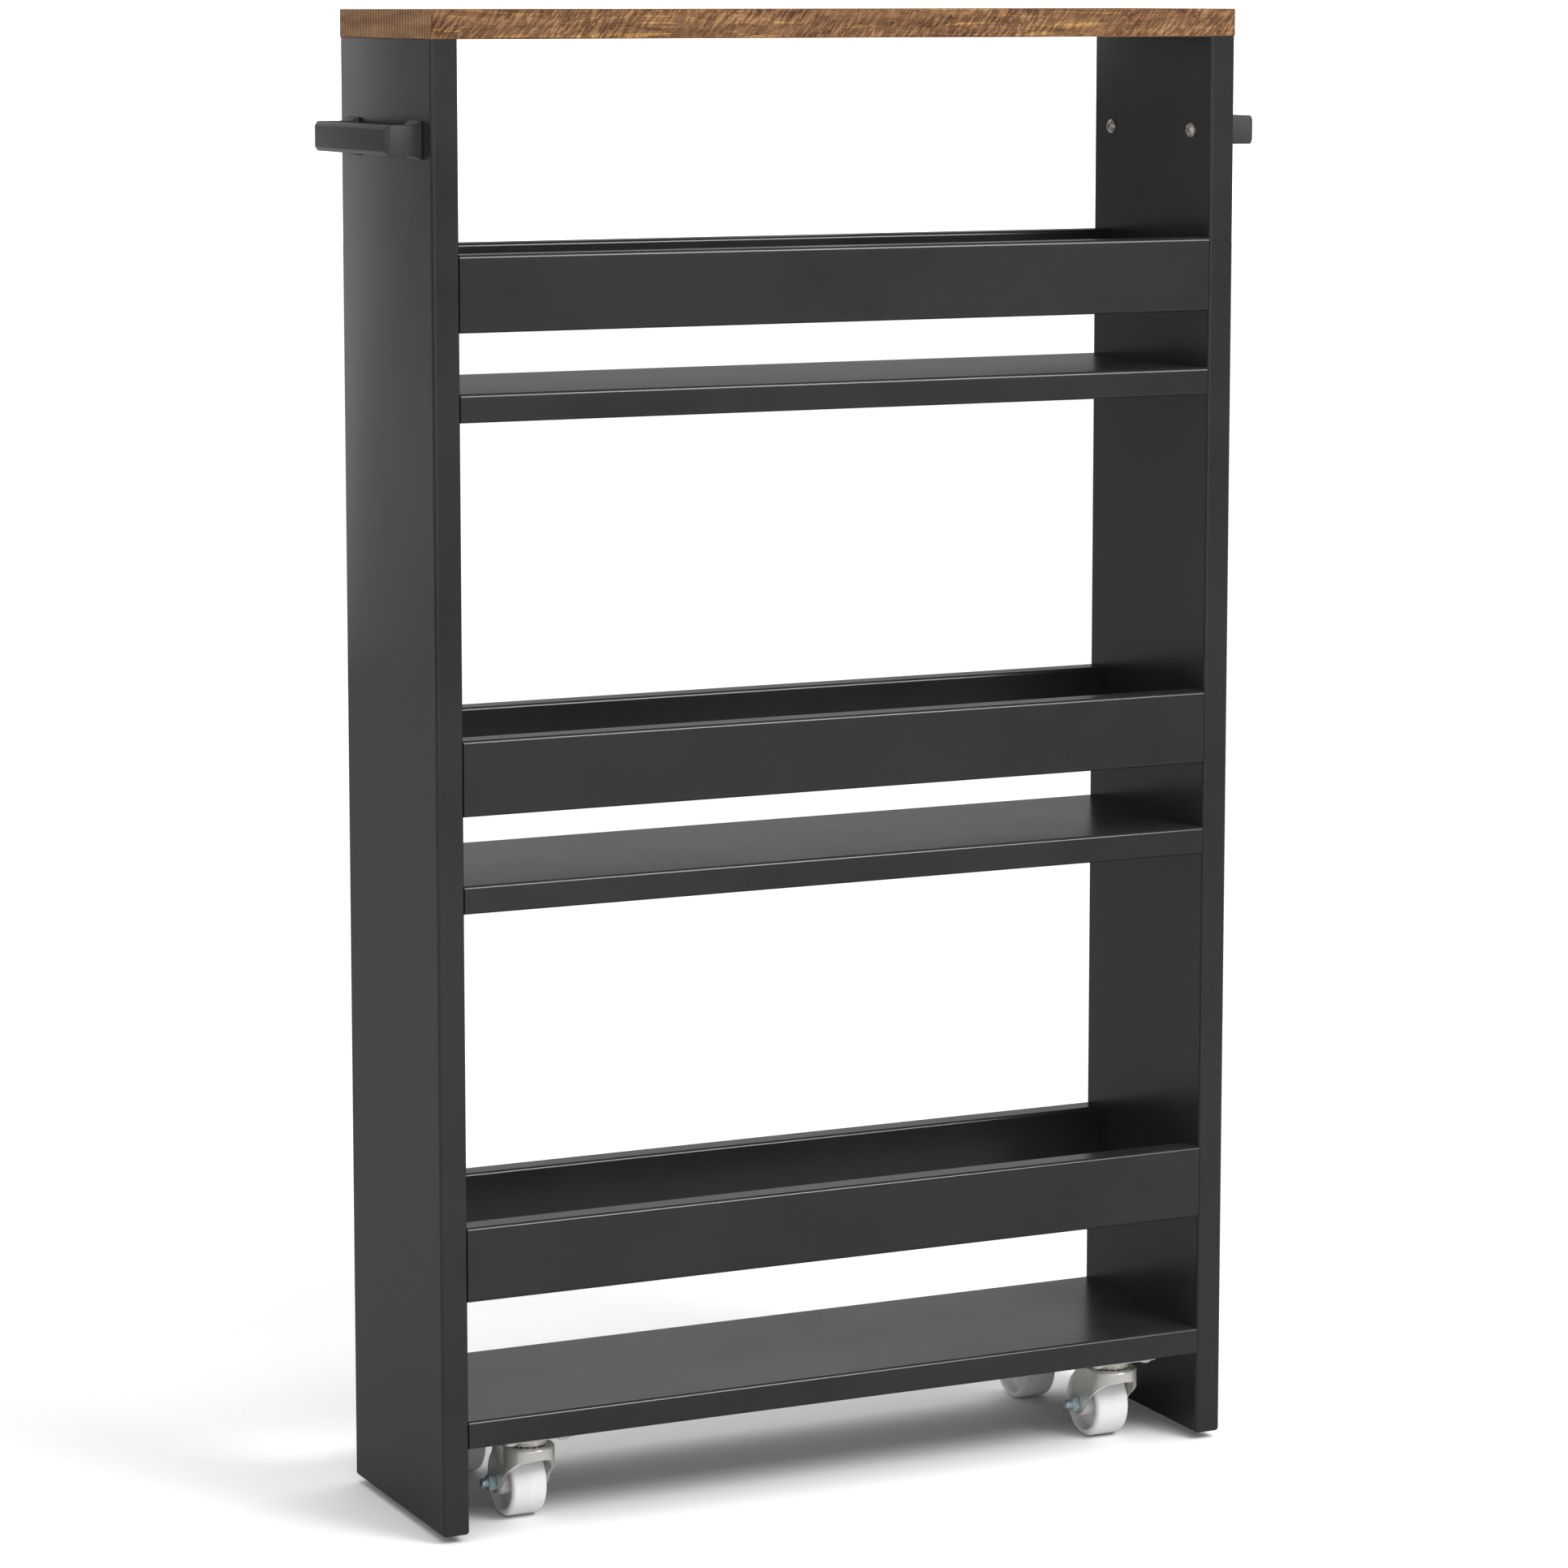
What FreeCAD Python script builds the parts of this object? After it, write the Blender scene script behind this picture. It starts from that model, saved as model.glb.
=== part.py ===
import FreeCAD, Part
import math
import os
import re
import Sketcher

# Rolling pantry cart. Millimetres, +Z up, X along the width, -Y at the front.
# The origin is on the floor under the middle of the cabinet.
#
# Two side panels carry a wood top, three shelves and a front and a back rail
# over each shelf. A handle is screwed to each panel. Four swivel castors are
# screwed under the bottom shelf: a plate, a riveted king pin with a ring of
# balls, a pressed fork, and a plastic wheel on a bush and bolt. At rest every
# castor trails towards +Y. Each piece is drawn about its own origin and then
# placed, and every length comes from the table below.

SIZES = [
    ("width", 470, "over the side panels"),
    ("depth", 130, "front edge to back edge of every board"),
    ("height", 800, "floor to the face of the top"),
    ("board", 15, "thickness of every board"),
    ("edge_round", 2, "rounding of the painted boards"),
    ("top_bevel", 0.5, "bevel round the wood top"),
    ("panel_gap", 4, "floor to the side panels"),
    ("middle_shelf_height", 335, "floor to the underside of the middle shelf"),
    ("upper_shelf_drop", 195, "underside of the top to the underside of the upper shelf"),
    ("rail_height", 40, "lower edge to upper edge of a rail"),
    ("lower_rail_lift", 64, "face of the bottom shelf to the lower rails"),
    ("middle_rail_lift", 36, "face of the middle shelf to the middle rails"),
    ("upper_rail_lift", 31, "face of the upper shelf to the upper rails"),
    ("handle_drop", 51, "underside of the top to the middle of a handle"),
    ("handle_length", 105.6, "end to end of the handle's bar"),
    ("handle_height", 15.6, "lower edge to upper edge of the bar"),
    ("handle_bar", 9, "thickness of the bar"),
    ("handle_reach", 20, "panel to the outer face of the bar"),
    ("handle_bevel", 2.2, "bevel round the outer face of the bar"),
    ("handle_leg", 13.6, "width of a handle's leg"),
    ("foot_width", 17, "width of a handle's foot on the panel"),
    ("foot_height", 20, "height of a handle's foot on the panel"),
    ("foot_taper", 4.8, "length over which a foot narrows to its leg"),
    ("screw_inset", 8.3, "end of the bar to the axis of a handle screw"),
    ("screw_thread", 4, "diameter of a handle screw"),
    ("screw_grip", 9, "length of a handle screw inside the leg"),
    ("screw_play", 0.25, "clearance round a handle screw in the panel"),
    ("screw_tip_gap", 2, "clearance beyond the tip of a handle screw"),
    ("screw_head", 8, "diameter of a handle screw's head"),
    ("screw_head_height", 2.4, "height of a handle screw's head"),
    ("screw_recess", 4.4, "span of the cross recess in a handle screw"),
    ("dowel", 8, "diameter of a shelf or top dowel"),
    ("dowel_length", 30, "length of a shelf or top dowel"),
    ("dowel_seat", 10, "short end of a dowel, in the panel or the top"),
    ("dowel_edge", 25, "edge of the board to a shelf dowel"),
    ("top_dowel_edge", 30, "edge of the board to a top dowel"),
    ("rail_dowel", 6, "diameter of a rail dowel"),
    ("rail_dowel_length", 25, "length of a rail dowel"),
    ("rail_dowel_seat", 8, "short end of a rail dowel, in the panel"),
    ("rail_dowel_drop", 10, "upper edge of a rail to its dowel"),
    ("dowel_bevel", 0.8, "bevel at both ends of a dowel"),
    ("dowel_gap", 1, "clearance beyond the long end of a dowel"),
    ("cam", 15, "diameter of a cam's hole"),
    ("cam_play", 0.1, "clearance round a cam"),
    ("cam_skin", 2.5, "wood left behind a cam"),
    ("cam_inset", 34, "end of the board to the axis of a cam"),
    ("cam_slot", 7.2, "width of the slot inside a cam"),
    ("cam_recess", 6, "span of the cross recess in a cam"),
    ("bolt_thread", 5, "thread of a cam bolt"),
    ("bolt_seat", 11, "length of a cam bolt in the panel"),
    ("bolt_bore", 7, "hole for a cam bolt in the end of a board"),
    ("bolt_shank", 6, "shank of a cam bolt"),
    ("bolt_neck", 4, "neck under the head of a cam bolt"),
    ("bolt_head", 6.6, "head of a cam bolt"),
    ("bolt_head_height", 4.4, "height of the head of a cam bolt"),
    ("rail_bolt_rise", 12, "lower edge of a rail to its cam bolt"),
    ("castor_inset", 42.5, "side panel to a swivel axis"),
    ("castor_edge", 22, "edge of the shelf to a swivel axis"),
    ("castor_trail", 16, "swivel axis to axle"),
    ("castor_headroom", 12, "top of the wheel to the shelf"),
    ("plate_width", 42, "side of the castor plate along X"),
    ("plate_depth", 34, "side of the castor plate along Y"),
    ("plate_sheet", 1.6, "thickness of the castor plate"),
    ("plate_corner", 4, "corner radius of the castor plate"),
    ("plate_screws_across", 30, "screw to screw on the castor plate along X"),
    ("plate_screws_along", 22, "screw to screw on the castor plate along Y"),
    ("boss", 22, "diameter of the dished boss at the plate"),
    ("boss_taper", 1, "how much its radius narrows on the way down"),
    ("boss_drop", 5.2, "depth of the dished boss"),
    ("wood_screw", 3.5, "diameter of a castor screw"),
    ("wood_screw_grip", 12, "length of a castor screw in the shelf"),
    ("wood_screw_head", 7, "diameter of a castor screw's head"),
    ("wood_screw_head_height", 2, "height of a castor screw's head"),
    ("wood_screw_recess", 3.8, "span of the cross recess in a castor screw"),
    ("wood_screw_play", 0.35, "clearance round a castor screw in the plate"),
    ("race_gap", 0.7, "boss to the top of the fork"),
    ("ball", 2.4, "diameter of a bearing ball"),
    ("ball_track", 7.6, "radius of the ring of balls"),
    ("ball_play", 0.04, "clearance round a ball in its track"),
    ("pin", 6, "diameter of the king pin"),
    ("pin_play", 0.06, "clearance of the fork round the king pin"),
    ("pin_head", 12, "diameter of the king pin's lower head"),
    ("pin_head_height", 2, "height of the king pin's lower head"),
    ("pin_rivet", 10, "diameter of its upset upper end"),
    ("pin_rivet_height", 1.8, "height of its upset upper end"),
    ("cup", 16, "diameter of the washer under the fork"),
    ("cup_sheet", 1.4, "thickness of that washer"),
    ("cup_gap", 0.15, "washer to fork"),
    ("fork_sheet", 1.6, "thickness of the fork"),
    ("fork_swell", 0.6, "how far the round front stands out from the legs"),
    ("fork_round", 1.2, "rounding of the fork's top"),
    ("leg_end", 6.2, "radius of a leg's end round the axle"),
    ("leg_lean", 1.2, "axle to the top of a leg's back edge, along Y"),
    ("skirt_front", 5.2, "top of the fork to the front of the skirt"),
    ("skirt_shoulder", 7, "top of the fork to the skirt's shoulder"),
    ("shoulder_back", 3, "front of the fork to the skirt's shoulder"),
    ("waist_reach", 13.5, "axle to the waist of a leg, along Y"),
    ("waist_rise", 5.4, "axle to the waist of a leg, upwards"),
    ("wheel", 38, "diameter of a wheel"),
    ("wheel_width", 20, "width of the tread"),
    ("wheel_round", 2, "rounding of the tread's edges"),
    ("wheel_rim", 3.5, "thickness of the rim"),
    ("wheel_web", 8, "thickness of the web"),
    ("hub", 14, "diameter of the hub"),
    ("hub_stand", 1.6, "how far the hub stands out of the tread's width"),
    ("hub_gap", 0.2, "hub to leg"),
    ("bush", 8, "diameter of the axle bush"),
    ("bush_play", 0.06, "clearance of the wheel round its bush"),
    ("axle", 5, "diameter of the axle bolt"),
    ("axle_hex", 8, "width across the flats of its head and nut"),
    ("axle_head", 4, "height of its head"),
    ("axle_nut", 4, "height of its nut"),
    ("axle_end", 3.6, "length of bolt beyond the nut"),
    ("axle_bevel", 0.6, "bevel at the bolt's end"),
    ("head_bevel", 0.5, "bevel round the head of a screw"),
]
ALIASES = [alias for alias, number, note in SIZES]

BALLS = 14
NEAR = 0.01
LEAST_CUT = 0.001
LEFT, RIGHT = -1, 1
FRONT, BACK = -1, 1
CASTORS = {
    "front_left": (LEFT, FRONT),
    "front_right": (RIGHT, FRONT),
    "back_left": (LEFT, BACK),
    "back_right": (RIGHT, BACK),
}

# Places that several pieces share, as expressions of the sizes.
INNER = "(width / 2 - board)"
UNDER_TOP = "(height - board)"
CASTOR_HEIGHT = "(wheel + castor_headroom)"
SHELVES = {
    "bottom": CASTOR_HEIGHT,
    "middle": "middle_shelf_height",
    "upper": "(%s - upper_shelf_drop)" % UNDER_TOP,
}
RAILS = {
    "lower": "(%s + board + lower_rail_lift)" % SHELVES["bottom"],
    "middle": "(%s + board + middle_rail_lift)" % SHELVES["middle"],
    "upper": "(%s + board + upper_rail_lift)" % SHELVES["upper"],
}
RAIL_LINE = "(depth / 2 - board / 2)"
SHELF_DOWEL = "(depth / 2 - dowel_edge)"
TOP_DOWEL = "(depth / 2 - top_dowel_edge)"
RAIL_DOWEL = "(rail_height - rail_dowel_drop)"
CAM_DEPTH = "(board - cam_skin)"
HANDLE_SCREW = "(handle_length / 2 - screw_inset)"
PLATE_FACE = "(%s - plate_sheet)" % CASTOR_HEIGHT
BOSS_FACE = "(%s - boss_drop)" % PLATE_FACE
DISH_FLOOR = "(%s + plate_sheet)" % BOSS_FACE
FORK_TOP = "(%s - race_gap)" % BOSS_FACE
FORK_UNDER = "(%s - fork_sheet)" % FORK_TOP
BALL_LINE = "(%s + race_gap / 2)" % FORK_TOP
CUP_TOP = "(%s - cup_gap)" % FORK_UNDER
CUP_FOOT = "(%s - cup_sheet)" % CUP_TOP
AXLE_LINE = "(wheel / 2)"
LEG_INNER = "(wheel_width / 2 + hub_stand + hub_gap)"
LEG_OUTER = "(%s + fork_sheet)" % LEG_INNER
FORK_RADIUS = "(%s + fork_swell)" % LEG_OUTER
LEG_FOOT = "(%s - leg_end)" % AXLE_LINE
LEG_BACK = "(castor_trail + leg_end)"
ACROSS_FORK = "(2 * (%s + leg_end))" % FORK_RADIUS
RECESS_ARM = "%s / 9"
RECESS_DEPTH = "%s / 3"

DOC = FreeCAD.newDocument("pantry_cart")
SHEET = DOC.addObject("Spreadsheet::Sheet", "Sizes")


# ---- sizes and places ----

def fill_sheet():
    """Write the table of sizes into the sheet: name, plain number, meaning."""
    for row, (alias, number, note) in enumerate(SIZES, 1):
        SHEET.set("A%d" % row, alias)
        SHEET.set("B%d" % row, str(number))
        SHEET.set("C%d" % row, note)
        SHEET.setAlias("B%d" % row, alias)
    DOC.recompute()


def linked(expression):
    """The expression with each size's name pointing at its cell."""
    def point(word):
        name = word.group()
        return "Sizes." + name if name in ALIASES else name
    return re.sub(r"[a-z_]+", point, expression)


def value(expression):
    """The expression's present value."""
    return float(SHEET.evalExpression(linked(expression)))


def sided(side, expression):
    """The expression on the given side of the middle."""
    return expression if side > 0 else "-" + expression


def turn(axis, angle):
    """Rotation by an angle in degrees about X, Y or Z."""
    return FreeCAD.Rotation(FreeCAD.Vector(*[float(axis == name) for name in "XYZ"]), angle)


def place(item, x="0", y="0", z="0", rotation=FreeCAD.Rotation()):
    """Put an object at a place given by expressions."""
    spot = FreeCAD.Vector(value(x), value(y), value(z))
    item.Placement = FreeCAD.Placement(spot, rotation)
    for name, expression in (("x", x), ("y", y), ("z", z)):
        item.setExpression("Placement.Base." + name, linked(expression))
    return item


# ---- sketches ----

def sketch_on(body, role, offset="0"):
    """Empty sketch on one of the body's planes, lifted along the plane's normal."""
    sketch = body.newObject("Sketcher::SketchObject", body.Name + "_sketch")
    plane = next(item for item in body.Origin.OriginFeatures if item.Role == role)
    sketch.AttachmentSupport = [(plane, "")]
    sketch.MapMode = "FlatFace"
    sketch.setExpression("AttachmentOffset.Base.z", linked(offset))
    return sketch


def hold_point(sketch, index, end, x, y):
    """Hold one point of a sketch at a pair of expressions."""
    for kind, expression in (("DistanceX", x), ("DistanceY", y)):
        rule = Sketcher.Constraint(kind, -1, 1, index, end, value(expression))
        number = sketch.addConstraint(rule)
        sketch.setExpression("Constraints[%d]" % number, linked(expression))


def draw_polygon(sketch, corners):
    """Closed outline with straight sides through the corners."""
    first = sketch.GeometryCount
    count = len(corners)
    spots = [FreeCAD.Vector(value(x), value(y), 0) for x, y in corners]
    for index in range(count):
        side = Part.LineSegment(spots[index], spots[(index + 1) % count])
        sketch.addGeometry(side, False)
    for index in range(count):
        after = first + (index + 1) % count
        sketch.addConstraint(Sketcher.Constraint("Coincident", first + index, 2, after, 1))
    for index, (x, y) in enumerate(corners):
        hold_point(sketch, first + index, 1, x, y)


def draw_rectangle(sketch, x, y):
    """Rectangle from a pair of ends along each direction."""
    draw_polygon(sketch, [(x[0], y[0]), (x[1], y[0]), (x[1], y[1]), (x[0], y[1])])


def draw_hexagon(sketch, flats, y, z):
    """Hexagon about a point, measured across its flats."""
    half = "%s / 2" % flats
    low = "%s / sqrt(12)" % flats
    wide = "%s / sqrt(3)" % flats
    steps = [("-" + low, half), (low, half), (wide, "0")]
    steps += [(low, "-" + half), ("-" + low, "-" + half), ("-" + wide, "0")]
    draw_polygon(sketch, [("%s + %s" % (y, a), "%s + %s" % (z, b)) for a, b in steps])


def draw_circle(sketch, x, y, radius):
    """Circle about a point."""
    centre = FreeCAD.Vector(value(x), value(y), 0)
    circle = Part.Circle(centre, FreeCAD.Vector(0, 0, 1), value(radius))
    index = sketch.addGeometry(circle, False)
    hold_point(sketch, index, 3, x, y)
    number = sketch.addConstraint(Sketcher.Constraint("Radius", index, value(radius)))
    sketch.setExpression("Constraints[%d]" % number, linked(radius))


# ---- features ----

def new_body(label):
    """Body named for its piece."""
    body = DOC.addObject("PartDesign::Body", label)
    body.Label = label
    return body


def pad(body, sketch, length):
    """Pad along the sketch's normal."""
    feature = body.newObject("PartDesign::Pad", body.Name + "_pad")
    feature.Profile = sketch
    feature.setExpression("Length", linked(length))
    DOC.recompute()
    return feature


def pocket(body, sketch, depth, reverse=False, both=False):
    """Pocket against the sketch's normal, along it, or to both sides."""
    before = body.Shape.Volume
    feature = body.newObject("PartDesign::Pocket", body.Name + "_pocket")
    feature.Profile = sketch
    feature.SideType = "Symmetric" if both else "One side"
    feature.Reversed = reverse
    feature.setExpression("Length", linked(depth))
    DOC.recompute()
    check_cut(body, before)
    return feature


def drill(body, role, offset, centres, radius, depth, reverse=False):
    """Row of round holes of one size, drilled from a plane."""
    sketch = sketch_on(body, role, offset)
    for x, y in centres:
        draw_circle(sketch, x, y, radius)
    return pocket(body, sketch, depth, reverse)


def spin(body, kind, sketch, axis="V_Axis"):
    """Full revolution or groove of a sketch about one of its axes."""
    before = body.Shape.Volume if kind == "Groove" else 0
    feature = body.newObject("PartDesign::" + kind, body.Name + "_spin")
    feature.Profile = sketch
    feature.ReferenceAxis = (sketch, [axis])
    feature.Angle = 360
    DOC.recompute()
    if kind == "Groove":
        check_cut(body, before)
    return feature


def check_cut(body, before):
    """Stop if a cut took nothing away."""
    if body.Shape.Volume > before - LEAST_CUT:
        raise RuntimeError("a cut in %s took nothing away" % body.Label)


def mirror(body, features, role):
    """Repeat features on the other side of one of the body's planes."""
    feature = body.newObject("PartDesign::Mirrored", body.Name + "_mirror")
    plane = next(item for item in body.Origin.OriginFeatures if item.Role == role)
    feature.Originals = features
    feature.MirrorPlane = (plane, [""])
    body.Tip = feature
    DOC.recompute()
    return feature


def edges_where(feature, test):
    """Names of the feature's edges that pass a test."""
    edges = enumerate(feature.Shape.Edges, 1)
    return ["Edge%d" % number for number, edge in edges if test(edge)]


def soften(body, kind, feature, names, size):
    """Fillet or chamfer named edges of a feature."""
    softened = body.newObject("PartDesign::" + kind, body.Name + "_" + kind.lower())
    softened.Base = (feature, names)
    softened.setExpression("Radius" if kind == "Fillet" else "Size", linked(size))
    DOC.recompute()
    return softened


def runs_along(axis):
    """Test for a straight edge that runs along X, Y or Z."""
    wanted = FreeCAD.Vector(*[float(axis == name) for name in "XYZ"])
    def test(edge):
        start, end = edge.Vertexes[0].Point, edge.Vertexes[-1].Point
        return len(edge.Vertexes) == 2 and (end - start).normalize().isEqual(
            wanted * (1 if (end - start).dot(wanted) > 0 else -1), 1e-6)
    return test


def lies_at(axis, level):
    """Test for an edge that lies wholly at one level along X, Y or Z."""
    lowest, highest = axis + "Min", axis + "Max"
    def test(edge):
        box = edge.BoundBox
        ends = (getattr(box, lowest), getattr(box, highest))
        return all(abs(end - level) < NEAR for end in ends)
    return test


def block(label, x, y, z):
    """Body and pad of a rectangular block between two ends each way."""
    body = new_body(label)
    sketch = sketch_on(body, "XY_Plane", z[0])
    draw_rectangle(sketch, x, y)
    return body, pad(body, sketch, "%s - %s" % (z[1], z[0]))


def turned(label, corners, axis="V_Axis"):
    """Piece turned about Z, or about X with the corners as (x, radius)."""
    body = new_body(label)
    sketch = sketch_on(body, "XZ_Plane")
    draw_polygon(sketch, corners)
    spin(body, "Revolution", sketch, axis)
    return body


def group(label, master, spots):
    """One node of separate solids: a copy of the master at each spot."""
    copies = []
    for x, y, z, rotation in spots:
        copy = DOC.addObject("App::Link", label + "_copy")
        copy.LinkedObject = master
        copies.append(place(copy, x, y, z, rotation))
    node = DOC.addObject("Part::Compound", label)
    node.Label = label
    node.Links = copies
    return node


# ---- cabinet ----

def side_panel(label, side):
    """Side panel, drawn as the left one with its inner face at x = 0."""
    body, blank = block(label, ("-board", "0"), ("-depth / 2", "depth / 2"),
                        ("panel_gap", UNDER_TOP))
    upright = runs_along("Z")
    low = lies_at("Z", value("panel_gap"))
    names = edges_where(blank, lambda edge: upright(edge) or low(edge))
    soften(body, "Fillet", blank, names, "edge_round")
    rows = [z + " + board / 2" for z in SHELVES.values()]
    rails = [(sided(end, RAIL_LINE), z) for z in RAILS.values() for end in (FRONT, BACK)]
    bolts = [("0", z) for z in rows]
    bolts += [(y, z + " + rail_bolt_rise") for y, z in rails]
    dowels = [(sided(end, SHELF_DOWEL), z) for z in rows for end in (FRONT, BACK)]
    rail_dowels = [(y, "%s + %s" % (z, RAIL_DOWEL)) for y, z in rails]
    screw_line = "%s - handle_drop" % UNDER_TOP
    screws = [(sided(end, HANDLE_SCREW), screw_line) for end in (FRONT, BACK)]
    tops = [("-board / 2", sided(end, TOP_DOWEL)) for end in (FRONT, BACK)]
    drill(body, "YZ_Plane", "0", bolts, "bolt_thread / 2", "bolt_seat")
    drill(body, "YZ_Plane", "0", dowels, "dowel / 2", "dowel_seat")
    drill(body, "YZ_Plane", "0", rail_dowels, "rail_dowel / 2", "rail_dowel_seat")
    drill(body, "YZ_Plane", "0", screws, "screw_thread / 2 + screw_play", "board")
    drill(body, "XY_Plane", UNDER_TOP, tops, "dowel / 2",
          "dowel_length - dowel_seat + dowel_gap")
    return place(body, sided(side, INNER), rotation=turn("Z", 0 if side == LEFT else 180))


def top_board():
    """Wood top on the side panels, with blind dowel holes in its underside."""
    body, blank = block("top_board", ("-width / 2", "width / 2"),
                        ("-depth / 2", "depth / 2"), ("0", "board"))
    soften(body, "Chamfer", blank, edges_where(blank, lambda edge: True), "top_bevel")
    holes = [(sided(side, "(width / 2 - board / 2)"), sided(end, TOP_DOWEL))
             for side in (LEFT, RIGHT) for end in (FRONT, BACK)]
    drill(body, "XY_Plane", "0", holes, "dowel / 2", "dowel_seat", reverse=True)
    return place(body, z=UNDER_TOP)


def castor_spots():
    """Swivel axis of each castor, as a pair of expressions."""
    x = "(%s - castor_inset)" % INNER
    y = "(depth / 2 - castor_edge)"
    return {name: (sided(side, x), sided(end, y)) for name, (side, end) in CASTORS.items()}


def plate_screw_spots():
    """Axis of each castor screw, as a pair of expressions."""
    half_x, half_y = "plate_screws_across / 2", "plate_screws_along / 2"
    return [("%s + %s" % (x, sided(across, half_x)), "%s + %s" % (y, sided(along, half_y)))
            for x, y in castor_spots().values()
            for across in (LEFT, RIGHT) for along in (FRONT, BACK)]


def shelf(name, height):
    """Shelf with a cam, a bolt hole and two dowel holes at each end."""
    body, blank = block(name + "_shelf", ("-" + INNER, INNER),
                        ("-depth / 2", "depth / 2"), ("0", "board"))
    soften(body, "Fillet", blank, edges_where(blank, runs_along("X")), "edge_round")
    cams = drill(body, "XY_Plane", "0", [(INNER + " - cam_inset", "0")],
                 "cam / 2", CAM_DEPTH, reverse=True)
    bolts = drill(body, "YZ_Plane", INNER, [("0", "board / 2")], "bolt_bore / 2", "cam_inset")
    dowels = drill(body, "YZ_Plane", INNER,
                   [(sided(end, SHELF_DOWEL), "board / 2") for end in (FRONT, BACK)],
                   "dowel / 2", "dowel_length - dowel_seat + dowel_gap")
    mirror(body, [cams, bolts, dowels], "YZ_Plane")
    if name == "bottom":
        drill(body, "XY_Plane", "0", plate_screw_spots(), "wood_screw / 2",
              "wood_screw_grip", reverse=True)
    return place(body, z=height)


def rail(level, end, height):
    """Rail with a cam in its back face and a bolt and a dowel hole at each end."""
    label = "%s_%s_rail" % (level, "front" if end == FRONT else "back")
    body, blank = block(label, ("-" + INNER, INNER), ("-board / 2", "board / 2"),
                        ("0", "rail_height"))
    soften(body, "Fillet", blank, edges_where(blank, runs_along("X")), "edge_round")
    cams = drill(body, "XZ_Plane", "-board / 2", [(INNER + " - cam_inset", "rail_bolt_rise")],
                 "cam / 2", CAM_DEPTH, reverse=True)
    bolts = drill(body, "YZ_Plane", INNER, [("0", "rail_bolt_rise")],
                  "bolt_bore / 2", "cam_inset")
    dowels = drill(body, "YZ_Plane", INNER, [("0", RAIL_DOWEL)], "rail_dowel / 2",
                   "rail_dowel_length - rail_dowel_seat + dowel_gap")
    mirror(body, [cams, bolts, dowels], "YZ_Plane")
    return place(body, y=sided(end, RAIL_LINE), z=height)


def handle(label, side):
    """Bar on two legs with flared feet, drawn with the panel's face at x = 0."""
    body = new_body(label)
    bar = sketch_on(body, "YZ_Plane", "handle_reach - handle_bar")
    draw_rectangle(bar, ("-handle_length / 2", "handle_length / 2"),
                   ("-handle_height / 2", "handle_height / 2"))
    bar_pad = pad(body, bar, "handle_bar")
    rim = edges_where(bar_pad, lies_at("X", value("handle_reach")))
    soften(body, "Chamfer", bar_pad, rim, "handle_bevel")
    leg_span = ("handle_length / 2 - handle_leg", "handle_length / 2")
    leg_rise = ("-handle_height / 2", "handle_height / 2")
    foot = sketch_on(body, "YZ_Plane")
    draw_rectangle(foot, (HANDLE_SCREW + " - foot_width / 2", HANDLE_SCREW + " + foot_width / 2"),
                   ("-foot_height / 2", "foot_height / 2"))
    ankle = sketch_on(body, "YZ_Plane", "foot_taper")
    draw_rectangle(ankle, leg_span, leg_rise)
    flare = body.newObject("PartDesign::AdditiveLoft", body.Name + "_loft")
    flare.Profile = foot
    flare.Sections = [ankle]
    DOC.recompute()
    shin = sketch_on(body, "YZ_Plane", "foot_taper")
    draw_rectangle(shin, leg_span, leg_rise)
    leg = pad(body, shin, "handle_reach - handle_bar - foot_taper")
    mirror(body, [flare, leg], "XZ_Plane")
    drill(body, "YZ_Plane", "0", [(sided(end, HANDLE_SCREW), "0") for end in (FRONT, BACK)],
          "screw_thread / 2", "screw_grip + screw_tip_gap", reverse=True)
    return place(body, sided(side, "(width / 2)"), z="%s - handle_drop" % UNDER_TOP,
                 rotation=turn("Z", 180 if side == LEFT else 0))


# ---- fasteners ----

def cross_recess(body, level, span, reverse=False):
    """Cross-shaped driver recess at one end of a piece on the Z axis."""
    arm, half = "%s / 2" % span, RECESS_ARM % span
    sketch = sketch_on(body, "XY_Plane", level)
    quarter = [(arm, "-" + half), (arm, half), (half, half)]
    corners = []
    for quadrant in range(4):
        corners += quarter
        quarter = [("-" + y if not y.startswith("-") else y[1:], x) for x, y in quarter]
    draw_polygon(sketch, corners)
    pocket(body, sketch, RECESS_DEPTH % span, reverse)


def screw(label, thread, length, head, head_height, recess):
    """Pan-head screw on the Z axis, head up, seated at z = 0."""
    tip = "-(%s)" % length
    body = turned(label, [
        ("0", tip), (thread + " / 2", tip), (thread + " / 2", "0"), (head + " / 2", "0"),
        (head + " / 2", head_height + " - head_bevel"),
        (head + " / 2 - head_bevel", head_height), ("0", head_height)])
    cross_recess(body, head_height, recess)
    return body


def dowel_pin(label, thickness, length, seat):
    """Wooden dowel on the Z axis, its short end below z = 0."""
    radius = "%s / 2" % thickness
    low, high = "-" + seat, "%s - %s" % (length, seat)
    return turned(label, [
        ("0", low), (radius + " - dowel_bevel", low), (radius, low + " + dowel_bevel"),
        (radius, high + " - dowel_bevel"), (radius + " - dowel_bevel", high), ("0", high)])


def cam_bolt():
    """Cam bolt on the Z axis: thread below z = 0, head at the cam's axis."""
    start, neck = "cam_inset - cam / 2", "cam_inset - bolt_head_height / 2"
    end = "cam_inset + bolt_head_height / 2"
    return turned("cam_bolt", [
        ("0", "-bolt_seat"), ("bolt_thread / 2", "-bolt_seat"), ("bolt_thread / 2", "0"),
        ("bolt_shank / 2", "0"), ("bolt_shank / 2", start), ("bolt_neck / 2", start),
        ("bolt_neck / 2", neck), ("bolt_head / 2", neck), ("bolt_head / 2", end), ("0", end)])


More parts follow.
